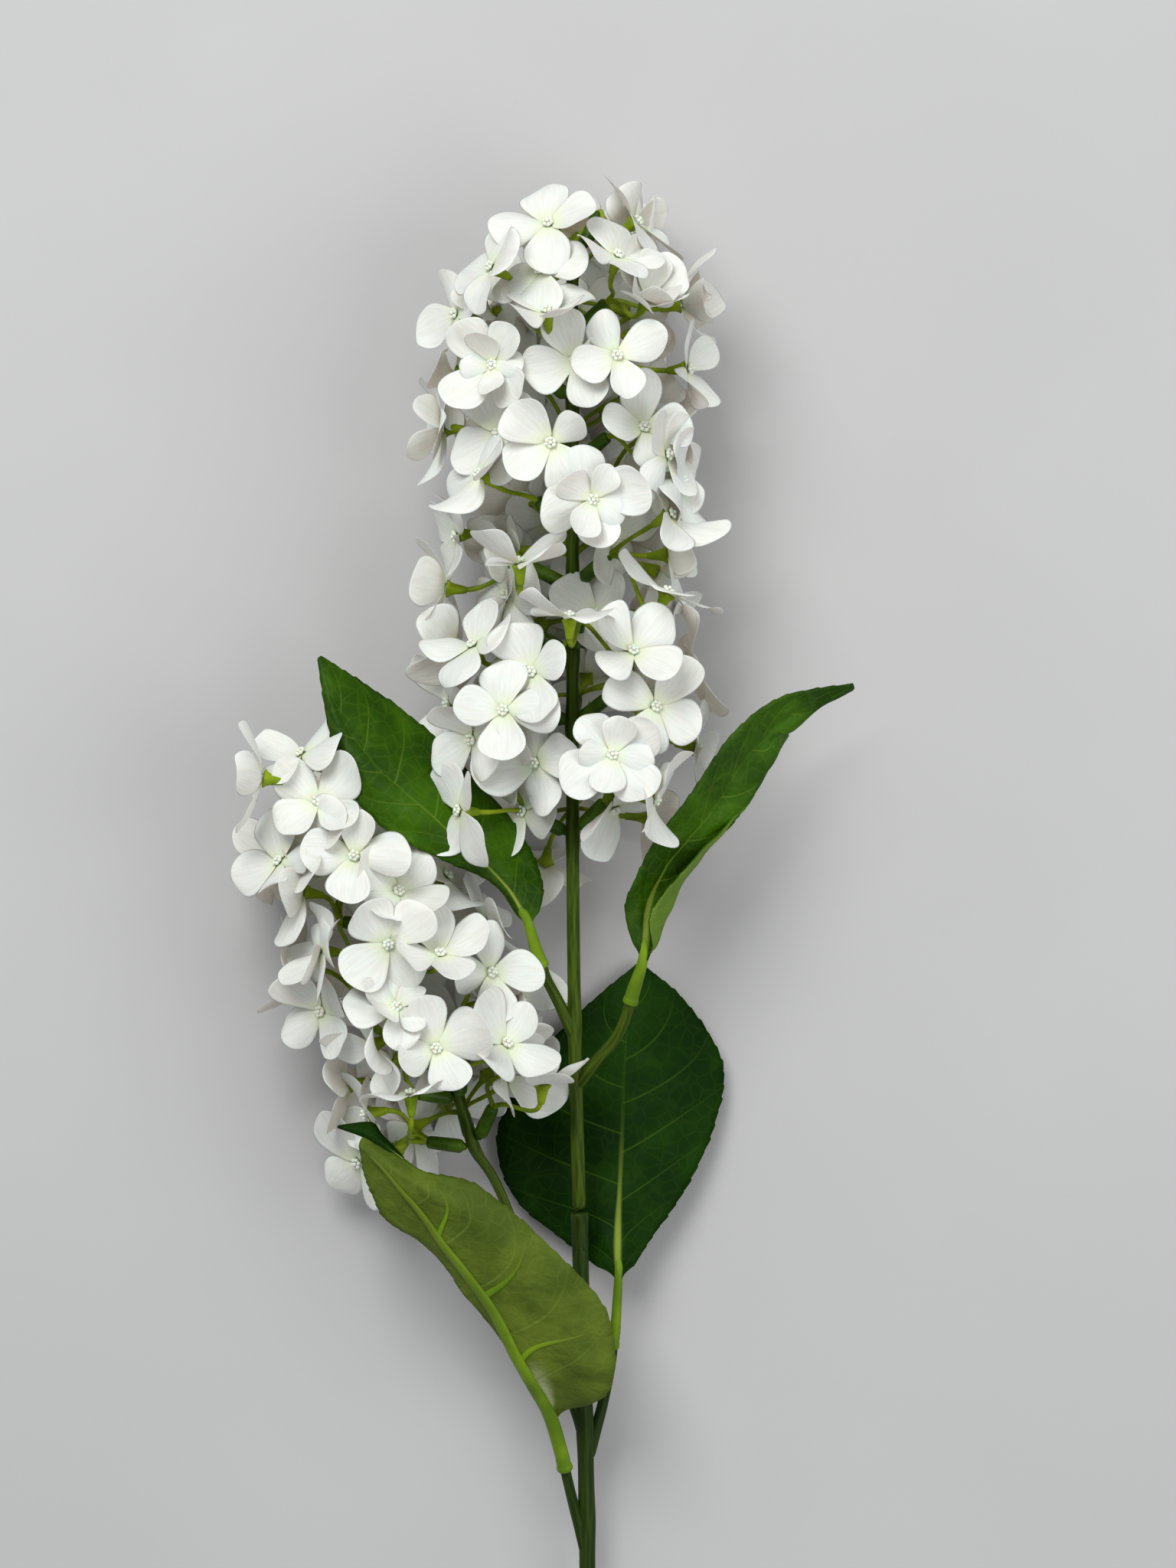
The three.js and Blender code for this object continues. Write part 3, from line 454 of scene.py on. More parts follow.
def addNoise(tree, vector, stretch, scale, detail):
    mapping = tree.nodes.new("ShaderNodeMapping")
    mapping.inputs["Scale"].default_value = stretch
    tree.links.new(vector, mapping.inputs["Vector"])
    texture = tree.nodes.new("ShaderNodeTexNoise")
    texture.inputs["Scale"].default_value = scale
    texture.inputs["Detail"].default_value = detail
    tree.links.new(mapping.outputs["Vector"], texture.inputs["Vector"])
    return texture.outputs["Fac"]


def addRamp(tree, factor, low, high):
    # 0 below low, 1 above high
    node = tree.nodes.new("ShaderNodeMapRange")
    node.interpolation_type = "SMOOTHSTEP"
    node.inputs["From Min"].default_value = low
    node.inputs["From Max"].default_value = high
    tree.links.new(factor, node.inputs["Value"])
    return node.outputs["Result"]


def addBump(tree, shader, height, distance, strength):
    node = tree.nodes.new("ShaderNodeBump")
    node.inputs["Strength"].default_value = strength
    node.inputs["Distance"].default_value = distance
    tree.links.new(height, node.inputs["Height"])
    tree.links.new(node.outputs["Normal"], shader.inputs["Normal"])


def splitMap(tree, coords):
    # the piece's own map: where a spot is across it and along it
    parts = tree.nodes.new("ShaderNodeSeparateXYZ")
    tree.links.new(coords.outputs["UV"], parts.inputs["Vector"])
    return parts.outputs["X"], parts.outputs["Y"]


petalLook = {
    # the crease colour is painted shade, laid darker in the petals' sunken creases
    "white": (0.80, 0.787, 0.74), "creaseShade": (0.75, 0.737, 0.685), "throat": (0.76, 0.78, 0.57),
    "throatEnds": (0.0, 0.34),  # along the petal
    "creases": (6, 0.9, 1), "creaseScale": 2.2, "shadedCreases": (0.62, 0.4),
    "foldScale": 110, "weaveScale": 1800,
    "creaseHeight": 0.6, "foldHeight": 1.6, "weaveHeight": 0.12, "reliefDepth": 0.00045, "bump": 0.6,
}


def makePetalMaterial():
    material, tree, shader = newMaterial(
        "petalFabric", 0.75, Sheen_Weight=0.1, Subsurface_Weight=0.2, Subsurface_Scale=0.002)
    coords = tree.nodes.new("ShaderNodeTexCoord")
    _, outward = splitMap(tree, coords)
    creases = addNoise(tree, coords.outputs["UV"], petalLook["creases"], petalLook["creaseScale"], 3)
    folds = addNoise(tree, coords.outputs["Object"], (1, 1, 1), petalLook["foldScale"], 2)
    weave = addNoise(tree, coords.outputs["Object"], (1, 1, 1), petalLook["weaveScale"], 2)
    # painted shade: the sunken creases take the darker crease colour
    shadedCreases = addRamp(tree, creases, *petalLook["shadedCreases"])
    shadedCloth = addMix(tree, shadedCreases, petalLook["white"], petalLook["creaseShade"])
    past = addRamp(tree, outward, *petalLook["throatEnds"])
    tree.links.new(addMix(tree, past, petalLook["throat"], shadedCloth), shader.inputs["Base Color"])
    height = addMath(tree, "MULTIPLY", creases, petalLook["creaseHeight"])
    height = addMath(tree, "MULTIPLY_ADD", weave, petalLook["weaveHeight"], height)
    height = addMath(tree, "MULTIPLY_ADD", folds, petalLook["foldHeight"], height)
    addBump(tree, shader, height, petalLook["reliefDepth"], petalLook["bump"])
    return material


plain = {"drift": (0.35, 0.65), "detail": 3, "endFade": (0.3, 1.0), "bump": 0.5}


def makePlainMaterial(name, light, dark, roughness, stretch=(1, 1, 1), scale=300, depth=0.0002,
                      lengthwise=False, end=None, **settings):
    # its colour drifts between light and dark, lengthwise on a stem, and may change towards its end
    material, tree, shader = newMaterial(name, roughness, **settings)
    coords = tree.nodes.new("ShaderNodeTexCoord")
    drift = addNoise(tree, coords.outputs["UV" if lengthwise else "Object"], stretch, scale, plain["detail"])
    colour = addMix(tree, addRamp(tree, drift, *plain["drift"]), dark, light)
    if end:
        _, along = splitMap(tree, coords)
        colour = addMix(tree, addRamp(tree, along, *plain["endFade"]), colour, end)
    tree.links.new(colour, shader.inputs["Base Color"])
    addBump(tree, shader, drift, depth, plain["bump"])
    return material


veins = {
    "count": 7.0, "lean": 0.2, "curve": 1.25, "stagger": 0.18,  # the side veins on one side of the rib
    "sideWidth": (0.035, 0.008), "sideFade": (0.95, 0.25), "sideFaint": 0.25,
    "rib": (0.22, 0.30, 0.04), "ribWidth": (0.045, 0.012), "ribTaper": 1.12,
    "ribFade": (0.6, 0.1), "ribStrength": (0.8, 0.15),  # what it gains at the base, and has at the tip
    "broadFade": (0.32, 0.0), "ribBroad": 4.0,          # where and by how much the rib is broader
    "netScale": 190, "netWidth": (0.09, 0.02),
    # a painted highlight: a pale patch beside the rib, at the base of the front leaf's underside
    "paintedHighlight": (0.50, 0.56, 0.30), "highlightFade": (0.2, 0.08),
    "highlightSide": (0.16, 0.07), "highlightStart": (0.0, 0.02),
    "driftScale": 45, "drift": (0.35, 0.68),
    "folds": (1, 1.3, 1), "foldScale": 120, "sunk": -0.5, "reliefDepth": 0.0008, "bump": 0.6,
}


def makeLeafMaterial(name, blade, dark, vein, roughness, netStrength, veinStrength, crumple, paintedHighlight=0.0,
                     **settings):
    # the leaf's map runs across it with the rib at 0.5, and along it from base to tip
    material, tree, shader = newMaterial(name, roughness, **settings)
    coords = tree.nodes.new("ShaderNodeTexCoord")
    across, along = splitMap(tree, coords)

    def reckon(operation, *values):
        return addMath(tree, operation, *values)

    signed = reckon("SUBTRACT", across, 0.5)
    away = reckon("MULTIPLY", reckon("ABSOLUTE", signed), 2.0)
    sideStep = reckon("MULTIPLY", reckon("SIGN", signed), veins["stagger"])
    curved = reckon("MULTIPLY", reckon("POWER", away, veins["curve"]), veins["lean"])
    phase = reckon("MULTIPLY_ADD", reckon("SUBTRACT", along, curved), veins["count"], sideStep)
    phase = reckon("FRACT", reckon("ADD", phase, 10.5))  # half a step on, and always above 0
    fromVein = reckon("ABSOLUTE", reckon("SUBTRACT", phase, 0.5))
    faded = reckon("MULTIPLY_ADD", addRamp(tree, away, *veins["sideFade"]), 1 - veins["sideFaint"],
                   veins["sideFaint"])
    sideVein = reckon("MULTIPLY", addRamp(tree, fromVein, *veins["sideWidth"]),
                      reckon("MULTIPLY", faded, veinStrength))

    broad = reckon("MULTIPLY_ADD", addRamp(tree, along, *veins["broadFade"]), veins["ribBroad"], 1.0)
    ribHalf = reckon("MULTIPLY", reckon("SUBTRACT", veins["ribTaper"], along), broad)
    rib = addRamp(tree, reckon("DIVIDE", away, ribHalf), *veins["ribWidth"])
    lowDown = addRamp(tree, along, *veins["ribFade"])
    rib = reckon("MULTIPLY", rib, reckon("MULTIPLY_ADD", lowDown, *veins["ribStrength"]))

    net = tree.nodes.new("ShaderNodeTexVoronoi")
    net.feature = "DISTANCE_TO_EDGE"
    net.inputs["Scale"].default_value = veins["netScale"]
    tree.links.new(coords.outputs["Object"], net.inputs["Vector"])
    netLine = reckon("MULTIPLY", addRamp(tree, net.outputs["Distance"], *veins["netWidth"]), netStrength)
    lines = reckon("MAXIMUM", sideVein, netLine)

    drift = addNoise(tree, coords.outputs["Object"], (1, 1, 1), veins["driftScale"], 4)
    ground = addMix(tree, addRamp(tree, drift, *veins["drift"]), dark, blade)
    # painted highlight: a pale patch beside the rib, near the base
    highlightMask = reckon("MULTIPLY", addRamp(tree, along, *veins["highlightFade"]), paintedHighlight)
    highlightMask = reckon("MULTIPLY", highlightMask, addRamp(tree, signed, *veins["highlightSide"]))
    highlightMask = reckon("MULTIPLY", highlightMask, addRamp(tree, signed, *veins["highlightStart"]))
    ground = addMix(tree, highlightMask, ground, veins["paintedHighlight"])
    ground = addMix(tree, lines, ground, vein)
    ribColour = addMix(tree, lowDown, vein, veins["rib"])
    tree.links.new(addMix(tree, rib, ground, ribColour), shader.inputs["Base Color"])

    folds = addNoise(tree, coords.outputs["Object"], veins["folds"], veins["foldScale"], 5)
    folds = reckon("ABSOLUTE", reckon("SUBTRACT", folds, 0.5))
    sunk = reckon("MULTIPLY", reckon("MAXIMUM", lines, rib), veins["sunk"])
    addBump(tree, shader, reckon("MULTIPLY_ADD", folds, crumple, sunk), veins["reliefDepth"], veins["bump"])
    return material


materials = {
    "petal": makePetalMaterial(),
    "bead": makePlainMaterial(
        "beadPlastic", (0.86, 0.86, 0.77), (0.81, 0.82, 0.69), 0.4,
        scale=900, Subsurface_Weight=0.4, Subsurface_Scale=0.002),
    "pedicel": makePlainMaterial(
        "pedicelPlastic", (0.25, 0.34, 0.008), (0.13, 0.20, 0.004), 0.4,
        scale=120, Specular_IOR_Level=0.16),
    "sleeve": makePlainMaterial(
        "sleevePlastic", (0.065, 0.135, 0.006), (0.028, 0.068, 0.003), 0.35,
        scale=160, Specular_IOR_Level=0.16),
    "lowerStem": makePlainMaterial(
        "lowerStemPlastic", (0.026, 0.050, 0.005), (0.011, 0.026, 0.002), 0.45,
        stretch=(4, 14, 1), scale=3, depth=0.0003, lengthwise=True, Specular_IOR_Level=0.12),
    "upperStem": makePlainMaterial(
        "upperStemPlastic", (0.060, 0.098, 0.004), (0.023, 0.047, 0.002), 0.42,
        stretch=(4, 14, 1), scale=3, depth=0.0003, lengthwise=True, Specular_IOR_Level=0.13),
    "petiole": makePlainMaterial(
        "petiolePlastic", (0.16, 0.27, 0.008), (0.09, 0.17, 0.005), 0.42,
        scale=70, end=(0.105, 0.15, 0.010), Specular_IOR_Level=0.15),
    # painted light and shade: the leaf top colour comes in a lit copy, painted lighter for the right and
    # upper-left leaves, and a shaded copy below, painted darker for the back leaf in shade, which the front
    # leaf's flap also takes
    "leafTopPaintedLight": makeLeafMaterial(
        "leafTopPaintedLight", (0.038, 0.112, 0.001), (0.014, 0.048, 0.0006), (0.12, 0.21, 0.015), 0.45,
        netStrength=0.10, veinStrength=0.4, crumple=2.4, Specular_IOR_Level=0.10),
    "leafShade": makeLeafMaterial(
        "leafShade", (0.008, 0.038, 0.0006), (0.003, 0.019, 0.0004), (0.06, 0.125, 0.008), 0.55,
        netStrength=0.06, veinStrength=0.4, crumple=1.4, Specular_IOR_Level=0.05),
    # painted light: a lighter, greener copy of the underside colour for the right and upper-left leaves
    "leafUnderPaintedLight": makeLeafMaterial(
        "leafUnderPaintedLight", (0.15, 0.25, 0.03), (0.10, 0.18, 0.018), (0.2, 0.3, 0.05), 0.65,
        netStrength=0.06, veinStrength=0.4, crumple=2.0, Specular_IOR_Level=0.15),
    # its pale patch is a painted highlight
    "leafUnder": makeLeafMaterial(
        "leafUnder", (0.108, 0.155, 0.013), (0.056, 0.090, 0.007), (0.15, 0.22, 0.03), 0.7,
        netStrength=0.10, veinStrength=0.45, crumple=3.0, paintedHighlight=1.0, Specular_IOR_Level=0.15),
    "wire": makePlainMaterial(
        "wireSteel", (0.5, 0.5, 0.5), (0.35, 0.35, 0.35), 0.35, scale=600, Metallic=1.0),
}
print("materials made")


def newPart():
    part = bmesh.new()
    part.loops.layers.uv.new("map")
    return part


def toMesh(part, name):
    mesh = bpy.data.meshes.new(name)
    part.to_mesh(mesh)
    part.free()
    return mesh


def addPart(piece, part, slotIndex):
    for face in part.faces:
        face.material_index = slotIndex
        face.smooth = True
    scratch = toMesh(part, "scratch")
    piece.from_mesh(scratch)
    bpy.data.meshes.remove(scratch)


def closeAndFace(part):
    bmesh.ops.remove_doubles(part, verts=part.verts, dist=1e-7)
    bmesh.ops.holes_fill(part, edges=[edge for edge in part.edges if edge.is_boundary], sides=0)
    bmesh.ops.recalc_face_normals(part, faces=part.faces)


def standing(place, direction):
    # a matrix that sets a shape made along Z on a place, in a direction
    return Matrix.Translation(place * mm) @ direction.to_track_quat("Z", "Y").to_matrix().to_4x4()


def carried(points, firstSide):
    # a place and two sides for each point, turned as little as possible along the line
    rings = []
    across = Vector(firstSide)
    for i, point in enumerate(points):
        along = (points[min(i + 1, len(points) - 1)] - points[max(i - 1, 0)]).normalized()
        across = (across - along * across.dot(along)).normalized()
        rings.append((point, across, along.cross(across)))
    return rings


def makeTube(points, radii, sides, firstSide=(0, 0, 1), ridges=None, mapLength=1.0):
    # a grid rolled up round a line of points, closed at both ends
    part = newPart()
    rings = carried(points, firstSide)
    steps = len(points) - 1
    grid = bmesh.ops.create_grid(part, x_segments=sides, y_segments=steps, size=0.5, calc_uvs=True)
    for vert in grid["verts"]:
        turn = 2 * math.pi * (vert.co.x + 0.5)
        row = round((vert.co.y + 0.5) * steps)
        centre, across, other = rings[row]
        radius = radii[row] * (ridges(turn, row) if ridges else 1)
        spot = centre + (across * math.cos(turn) + other * math.sin(turn)) * radius
        spot.z = max(spot.z, 0)  # it lies flat on the floor
        vert.co = spot * mm
    mapLayer = part.loops.layers.uv["map"]
    for face in part.faces:
        for loop in face.loops:
            loop[mapLayer].uv.y *= mapLength
    closeAndFace(part)
    return part


def addTurned(piece, start, direction, outline, sides, slotIndex, **shape):
    # a round form on a straight line, from distances along it and the radii there
    line = [start + direction * distance for distance, _ in outline]
    addPart(piece, makeTube(line, [radius for _, radius in outline], sides, **shape), slotIndex)


def finishPiece(piece, name, look, nodes, smoothing=1):
    mesh = toMesh(piece, name)
    for material in look:
        mesh.materials.append(materials[material])
    made = addObject(name, mesh)
    if smoothing:
        subdivision = made.modifiers.new("subdivision", "SUBSURF")
        subdivision.levels = smoothing
        subdivision.render_levels = smoothing
    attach(made, "root")
    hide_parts(*nodes)
    return made


bloom = {
    "petalLength": 17.4, "petalWidth": 8.4, "petalStart": 0.05, "petalEnd": 0.96, "petalThickness": 0.3,
    "across": 4, "along": 5,
    "outline": (0.22, 0.62, 0.95, 1.0, 0.88, 0.6),  # share of the full width from the claw to the round end
    # in millimetres, how far a petal's tip curls, its blade twists and leans and its edge waves
    "curl": (-4.2, 6.0), "topCurl": (-5.5, 0.5), "topHeight": 610, "twist": 2.8, "lean": 1.8, "wave": 0.6,
    "roll": (-1.15, 0.95),  # how far a petal's sides roll, in radians
    "unevenness": 0.14,     # of its two sides
    "leastRoll": 0.05,
    "roundEnd": 0.05, "setBack": 0.07, "crowding": 0.4,  # of the rows, towards the petal's end
    "sizeSpread": (0.9, 1.12), "widthSpread": (0.88, 1.08), "doubleShare": 0.14, "innerSize": 0.76,
    "innerRise": 0.8, "innerBend": 0.35, "closing": 26,  # the most that a floret is closed, in degrees
    "throatRadius": 2.2, "throatRise": 0.7,
    "beadRadius": 0.9, "beadRing": 1.3, "beads": 6, "beadRise": 0.6, "beadTop": 0.8, "beadUneven": 0.4,
}


def makePetal(axes, centre, bend, size, angle, curlRange, chance):
    first, second, facing = axes
    out = first * math.cos(angle) + second * math.sin(angle)
    side = facing.cross(out)
    size *= chance.uniform(*bloom["sizeSpread"])
    length = bloom["petalLength"] * size
    widest = bloom["petalWidth"] * size * chance.uniform(*bloom["widthSpread"])
    curl, roll = chance.uniform(*curlRange), chance.uniform(*bloom["roll"])
    roll = roll if abs(roll) > bloom["leastRoll"] else bloom["leastRoll"]
    twist = chance.uniform(-bloom["twist"], bloom["twist"])
    lean = chance.uniform(-bloom["lean"], bloom["lean"])
    wavePlace, uneven = chance.uniform(0, 6.3), chance.uniform(-bloom["unevenness"], bloom["unevenness"])
    part = newPart()
    grid = bmesh.ops.create_grid(part, x_segments=bloom["across"], y_segments=bloom["along"], size=0.5,
                                 calc_uvs=True)
    for vert in grid["verts"]:
        u, v = 2 * vert.co.x, vert.co.y + 0.5
        row = v * (1 + bloom["crowding"] * (1 - v))
        t = bloom["petalStart"] + (bloom["petalEnd"] - bloom["petalStart"]) * row
        reach = length * (t + bloom["roundEnd"] * v ** 6 * (1 - u * u) - bloom["setBack"] * u * u * v ** 3)
        beyond = max(0, reach - petal["notch"])
        flat = min(reach, petal["notch"])
        half = widest * bloom["outline"][round(v * bloom["along"])] * (1 + uneven * u)
        rolled = roll * math.sin(math.pi * (0.15 + 0.6 * v))
        sideways = half * math.sin(rolled * u) / rolled + lean * v * v
        rise = beyond * math.sin(bend) + curl * v ** 2.5 + half * (1 - math.cos(rolled * u)) / rolled
        rise += twist * u * v + bloom["wave"] * math.sin(6 * v + wavePlace) * u * abs(u)
        rise -= petal["dish"] * (1 - v) ** 3
        spot = centre + out * (flat + beyond * math.cos(bend)) + side * sideways + facing * rise
        spot.z = max(spot.z, 1.5 * bloom["petalThickness"])
        vert.co = spot * mm
    bmesh.ops.solidify(part, geom=part.faces, thickness=bloom["petalThickness"] * mm)
    bmesh.ops.recalc_face_normals(part, faces=part.faces)
    return part


def addFloret(piece, floret):
    first, second = floretAxes(floret)
    facing, centre, seed = floret["facing"], floret["centre"], floret["seed"]
    axes = (first, second, facing)
    chance = random.Random(seed)
    close = math.radians(bloom["closing"]) * chance.random() ** 2  # some florets are half closed
    curl = bloom["curl"] if centre.y < bloom["topHeight"] else bloom["topCurl"]
    double = chance.random() < bloom["doubleShare"]  # some have a second, smaller ring of petals
    for k in range(4):
        bend, size, angle = petalDraws(seed, k)
        addPart(piece, makePetal(axes, centre, bend + close, size, angle, curl, chance), 0)
        if double:
            above, inner = centre + facing * bloom["innerRise"], size * bloom["innerSize"]
            lifted, turned = bend + close + bloom["innerBend"], angle + math.pi / 4
            addPart(piece, makePetal(axes, above, lifted, inner, turned, curl, chance), 0)
    throat = newPart()
    bmesh.ops.create_circle(throat, cap_ends=True, segments=8, radius=bloom["throatRadius"] * mm)
    bmesh.ops.solidify(throat, geom=throat.faces, thickness=bloom["petalThickness"] * mm)
    place = standing(centre + facing * bloom["throatRise"], facing)
    bmesh.ops.transform(throat, matrix=place, verts=throat.verts)
    bmesh.ops.recalc_face_normals(throat, faces=throat.faces)
    addPart(piece, throat, 0)
    for k in range(bloom["beads"] + 1):
        turn = 2 * math.pi * (k + chance.random() * bloom["beadUneven"]) / bloom["beads"]
        ring = bloom["beadRing"] if k < bloom["beads"] else 0
        spot = centre + (first * math.cos(turn) + second * math.sin(turn)) * ring
        above = bloom["beadUneven"] * chance.random() if ring else bloom["beadTop"]
        spot += facing * (bloom["beadRise"] + above)
        bead = newPart()
        bmesh.ops.create_icosphere(bead, subdivisions=1, radius=bloom["beadRadius"] * mm,
                                   matrix=Matrix.Translation(spot * mm), calc_uvs=True)
        addPart(piece, bead, 1)


calyx = {
    "length": 7, "behind": 0.85,  # it starts so far behind the petals
    # distances behind the floret's centre and the radii there
    "outline": ((7.85, 1.15), (6.4, 1.35), (4.2, 1.7), (1.9, 2.2), (0.85, 2.4), (0.6, 1.2)),
    "starRow": 4, "starDepth": 0.95, "sides": 16,
}
pedicel = {
    "inSleeve": 1.2, "inCalyx": 1.5, "pull": 0.38, "sides": 6,
    "radii": (1.2, 1.1, 0.95, 0.88, 0.85, 0.86, 0.92, 1.05, 1.15),
    "lowest": 1.3,  # its middle line's least height above the floor
}


def starRidge(turn, row):
    # four pointed sepals at the calyx's rim
    return 1 + calyx["starDepth"] * max(0, math.cos(4 * turn)) if row == calyx["starRow"] else 1


def addStalk(piece, place, floret):
    # the calyx under the floret and the pedicel that bends from it into the sleeve's end
    facing, centre = floret["facing"], floret["centre"]
    first, _ = floretAxes(floret)
    addTurned(piece, centre, -facing, calyx["outline"], calyx["sides"], 2, firstSide=first, ridges=starRidge)
    neck = centre - facing * (calyx["length"] + calyx["behind"])
    root = place["end"] - place["direction"] * pedicel["inSleeve"]
    pull = pedicel["pull"] * (neck - root).length
    # a curve's two ends and the two points that steer it
    a, b = root, root + place["direction"] * pull
    c, d = neck - facing * pull, neck + facing * pedicel["inCalyx"]
    line = []
    steps = len(pedicel["radii"]) - 1
    for i in range(steps + 1):
        t = i / steps
        spot = a * (1 - t) ** 3 + b * 3 * t * (1 - t) ** 2 + c * 3 * t * t * (1 - t) + d * t ** 3
        spot.z = max(spot.z, pedicel["lowest"])
        line.append(spot)
    addPart(piece, makeTube(line, pedicel["radii"], pedicel["sides"]), 2)


sprays = layOut(mainHead, 1) + layOut(sideHead, 101)
sprayLook = ["petal", "bead", "pedicel", "sleeve"]
for spray in sprays:
    piece, place = newPart(), spray["place"]
    for floret in spray["florets"]:
        addFloret(piece, floret)
        addStalk(piece, place, floret)
    addTurned(piece, place["start"], place["direction"], sleeve["outline"], sleeve["sides"], 3)
    kind, _, number = spray["node"].partition("_spray_")
    finishPiece(piece, f"{kind}Spray{number}", sprayLook, [spray["node"]])
print(f"{len(sprays)} sprays made")


blade = {
    "across": 18, "along": 168, "thickness": 0.5,
    "teeth": 28, "toothDepth": (0.15, 0.8), "toothRoot": 0.08,  # teeth point away from here across the width
    "firstTooth": 0.06, "toothGrowth": 0.12, "lastTeeth": 0.04,  # along the blade
    "relief": 0.5, "quiltWidth": 0.3, "groove": 0.5, "grooveWidth": 0.1,
    "crumpleSize": 9,  # of the soft folds over the blade, whose depth each leaf gives
    "neck": 0.4, "neckLength": 0.05,  # share of its width that it keeps at the petiole, and how far along
    "flapBulge": 1.2,
}


def bladePoint(rails, u, v):
    # u from base to tip, v across the rails
    return spline([rail(u) for rail in rails])(v)


def bladeNormal(rails, u, v, step=0.01):
    along = bladePoint(rails, min(u + step, 1), v) - bladePoint(rails, max(u - step, 0), v)
    across = bladePoint(rails, u, min(v + step, 1)) - bladePoint(rails, u, max(v - step, 0))
    return across.cross(along).normalized()


def fromRib(v, ribAt):
    # -1 and 1 at the two edges, 0 on the rib
    return (v - ribAt) / ribAt if v < ribAt else (v - ribAt) / (1 - ribAt)


def reliefAt(leaf, ribAt, u, v, spot):
    # the quilting between the veins, the groove over the midrib and soft folds, none at base and tip
    signed = fromRib(v, ribAt)
    away = abs(signed)
    stagger = veins["stagger"] if signed > 0 else -veins["stagger"]
    phase = (u - veins["lean"] * away ** veins["curve"]) * veins["count"] + stagger
    fromVein = abs((phase + 10.5) % 1 - 0.5)
    raised = min(1, fromVein / blade["quiltWidth"]) - 0.5
    quilt = blade["relief"] * raised * min(1, 4 * away) * (1 - away ** 4)
    groove = blade["groove"] * math.exp(-(away / blade["grooveWidth"]) ** 2)
    crumple = leaf["crumple"] * noise.noise(spot / blade["crumpleSize"])
    return (quilt - groove + crumple) * min(1, 6 * u, 6 * (1 - u))


def onBlade(leaf, rails, ribAt, u, v, below):
    # a point below the blade's own surface, on its underside
    spot, normal = bladePoint(rails, u, v), bladeNormal(rails, u, v)
    return spot + normal * leaf["faces"] * (reliefAt(leaf, ribAt, u, v, spot) - below)


def widthKept(leaf, u, outer):
    # a blade narrows into its petiole, and the right leaf is pinched on its outer side
    share = min(1, blade["neck"] + (1 - blade["neck"]) * u / blade["neckLength"])
    if outer and "waist" in leaf:
        place, reach, cut = leaf["waist"]
        share *= 1 - cut * math.exp(-((u - place) / reach) ** 2)
    return share


def makeBlade(leaf, rails, ribAt):
    part = newPart()
    across, along = blade["across"], blade["along"]
    grid = bmesh.ops.create_grid(part, x_segments=across, y_segments=along, size=0.5, calc_uvs=True)
    for vert in grid["verts"]:
        v, u = vert.co.x + 0.5, vert.co.y + 0.5
        spot = bladePoint(rails, u, v)
        spot = bladePoint(rails, u, ribAt).lerp(spot, widthKept(leaf, u, v > ribAt))
        normal = bladeNormal(rails, u, v)
        if v < 0.001 or v > 0.999:
            inner = bladePoint(rails, u, blade["toothRoot"] if v < 0.5 else 1 - blade["toothRoot"])
            tooth = int(u * blade["teeth"] + 0.001)
            saw = max(0, u * blade["teeth"] - tooth)
            least, most = blade["toothDepth"]
            depth = least + (most - least) * draw(tooth + 31 * round(v), 1)
            fade = min(1, (u - blade["firstTooth"]) / blade["toothGrowth"], (1 - u) / blade["lastTeeth"])
            fade = max(0, fade)
            spot += (spot - inner).normalized() * depth * saw * fade
        vert.co = (spot + normal * leaf["faces"] * reliefAt(leaf, ribAt, u, v, spot)) * mm
    mapLayer = part.loops.layers.uv["map"]
    for face in part.faces:
        for loop in face.loops:
            loop[mapLayer].uv.x = 0.5 + 0.5 * fromRib(loop[mapLayer].uv.x, ribAt)
    return part


def makeFlap(fold, edge):
    part = newPart()
    foldLine, edgeLine = spline(fold), spline(edge)
    grid = bmesh.ops.create_grid(part, x_segments=3, y_segments=12, size=0.5, calc_uvs=True)
    for vert in grid["verts"]:
        v, u = vert.co.x + 0.5, vert.co.y + 0.5
        spot = foldLine(u).lerp(edgeLine(u), v)
        spot.z += blade["flapBulge"] * math.sin(math.pi * v)
        vert.co = spot * mm
    return part


petiole = {
    # distances from the branch's end, and shares of the sleeve's radius: a slight ring, then the sleeve
    "sleeve": ((gap, 0.95), (0.8, 1.12), (1.9, 1.13), (2.8, 1.0), (4.8, 1.0), (6.8, 0.97)),
    "steps": 14, "sinks": 0.14, "start": 0.01, "reach": 0.93, "tipRadius": 0.4, "taper": 1.5, "sides": 12,
    "flatness": 0.5,  # height of a rib over its half-width
    "sideSteps": 8, "sideTaper": 0.85, "sideProud": 0.02, "sideSides": 10,  # of the front leaf's side ribs
}


def flattened(turn, row=0):
    # a rib's round made low, alike in every row, where turn 0 stands off the blade
    return 1 / math.sqrt((math.cos(turn) / petiole["flatness"]) ** 2 + math.sin(turn) ** 2)


def branchEnd(name):
    curve = spline(branches[name])
    return curve(1), tangent(curve, 1)


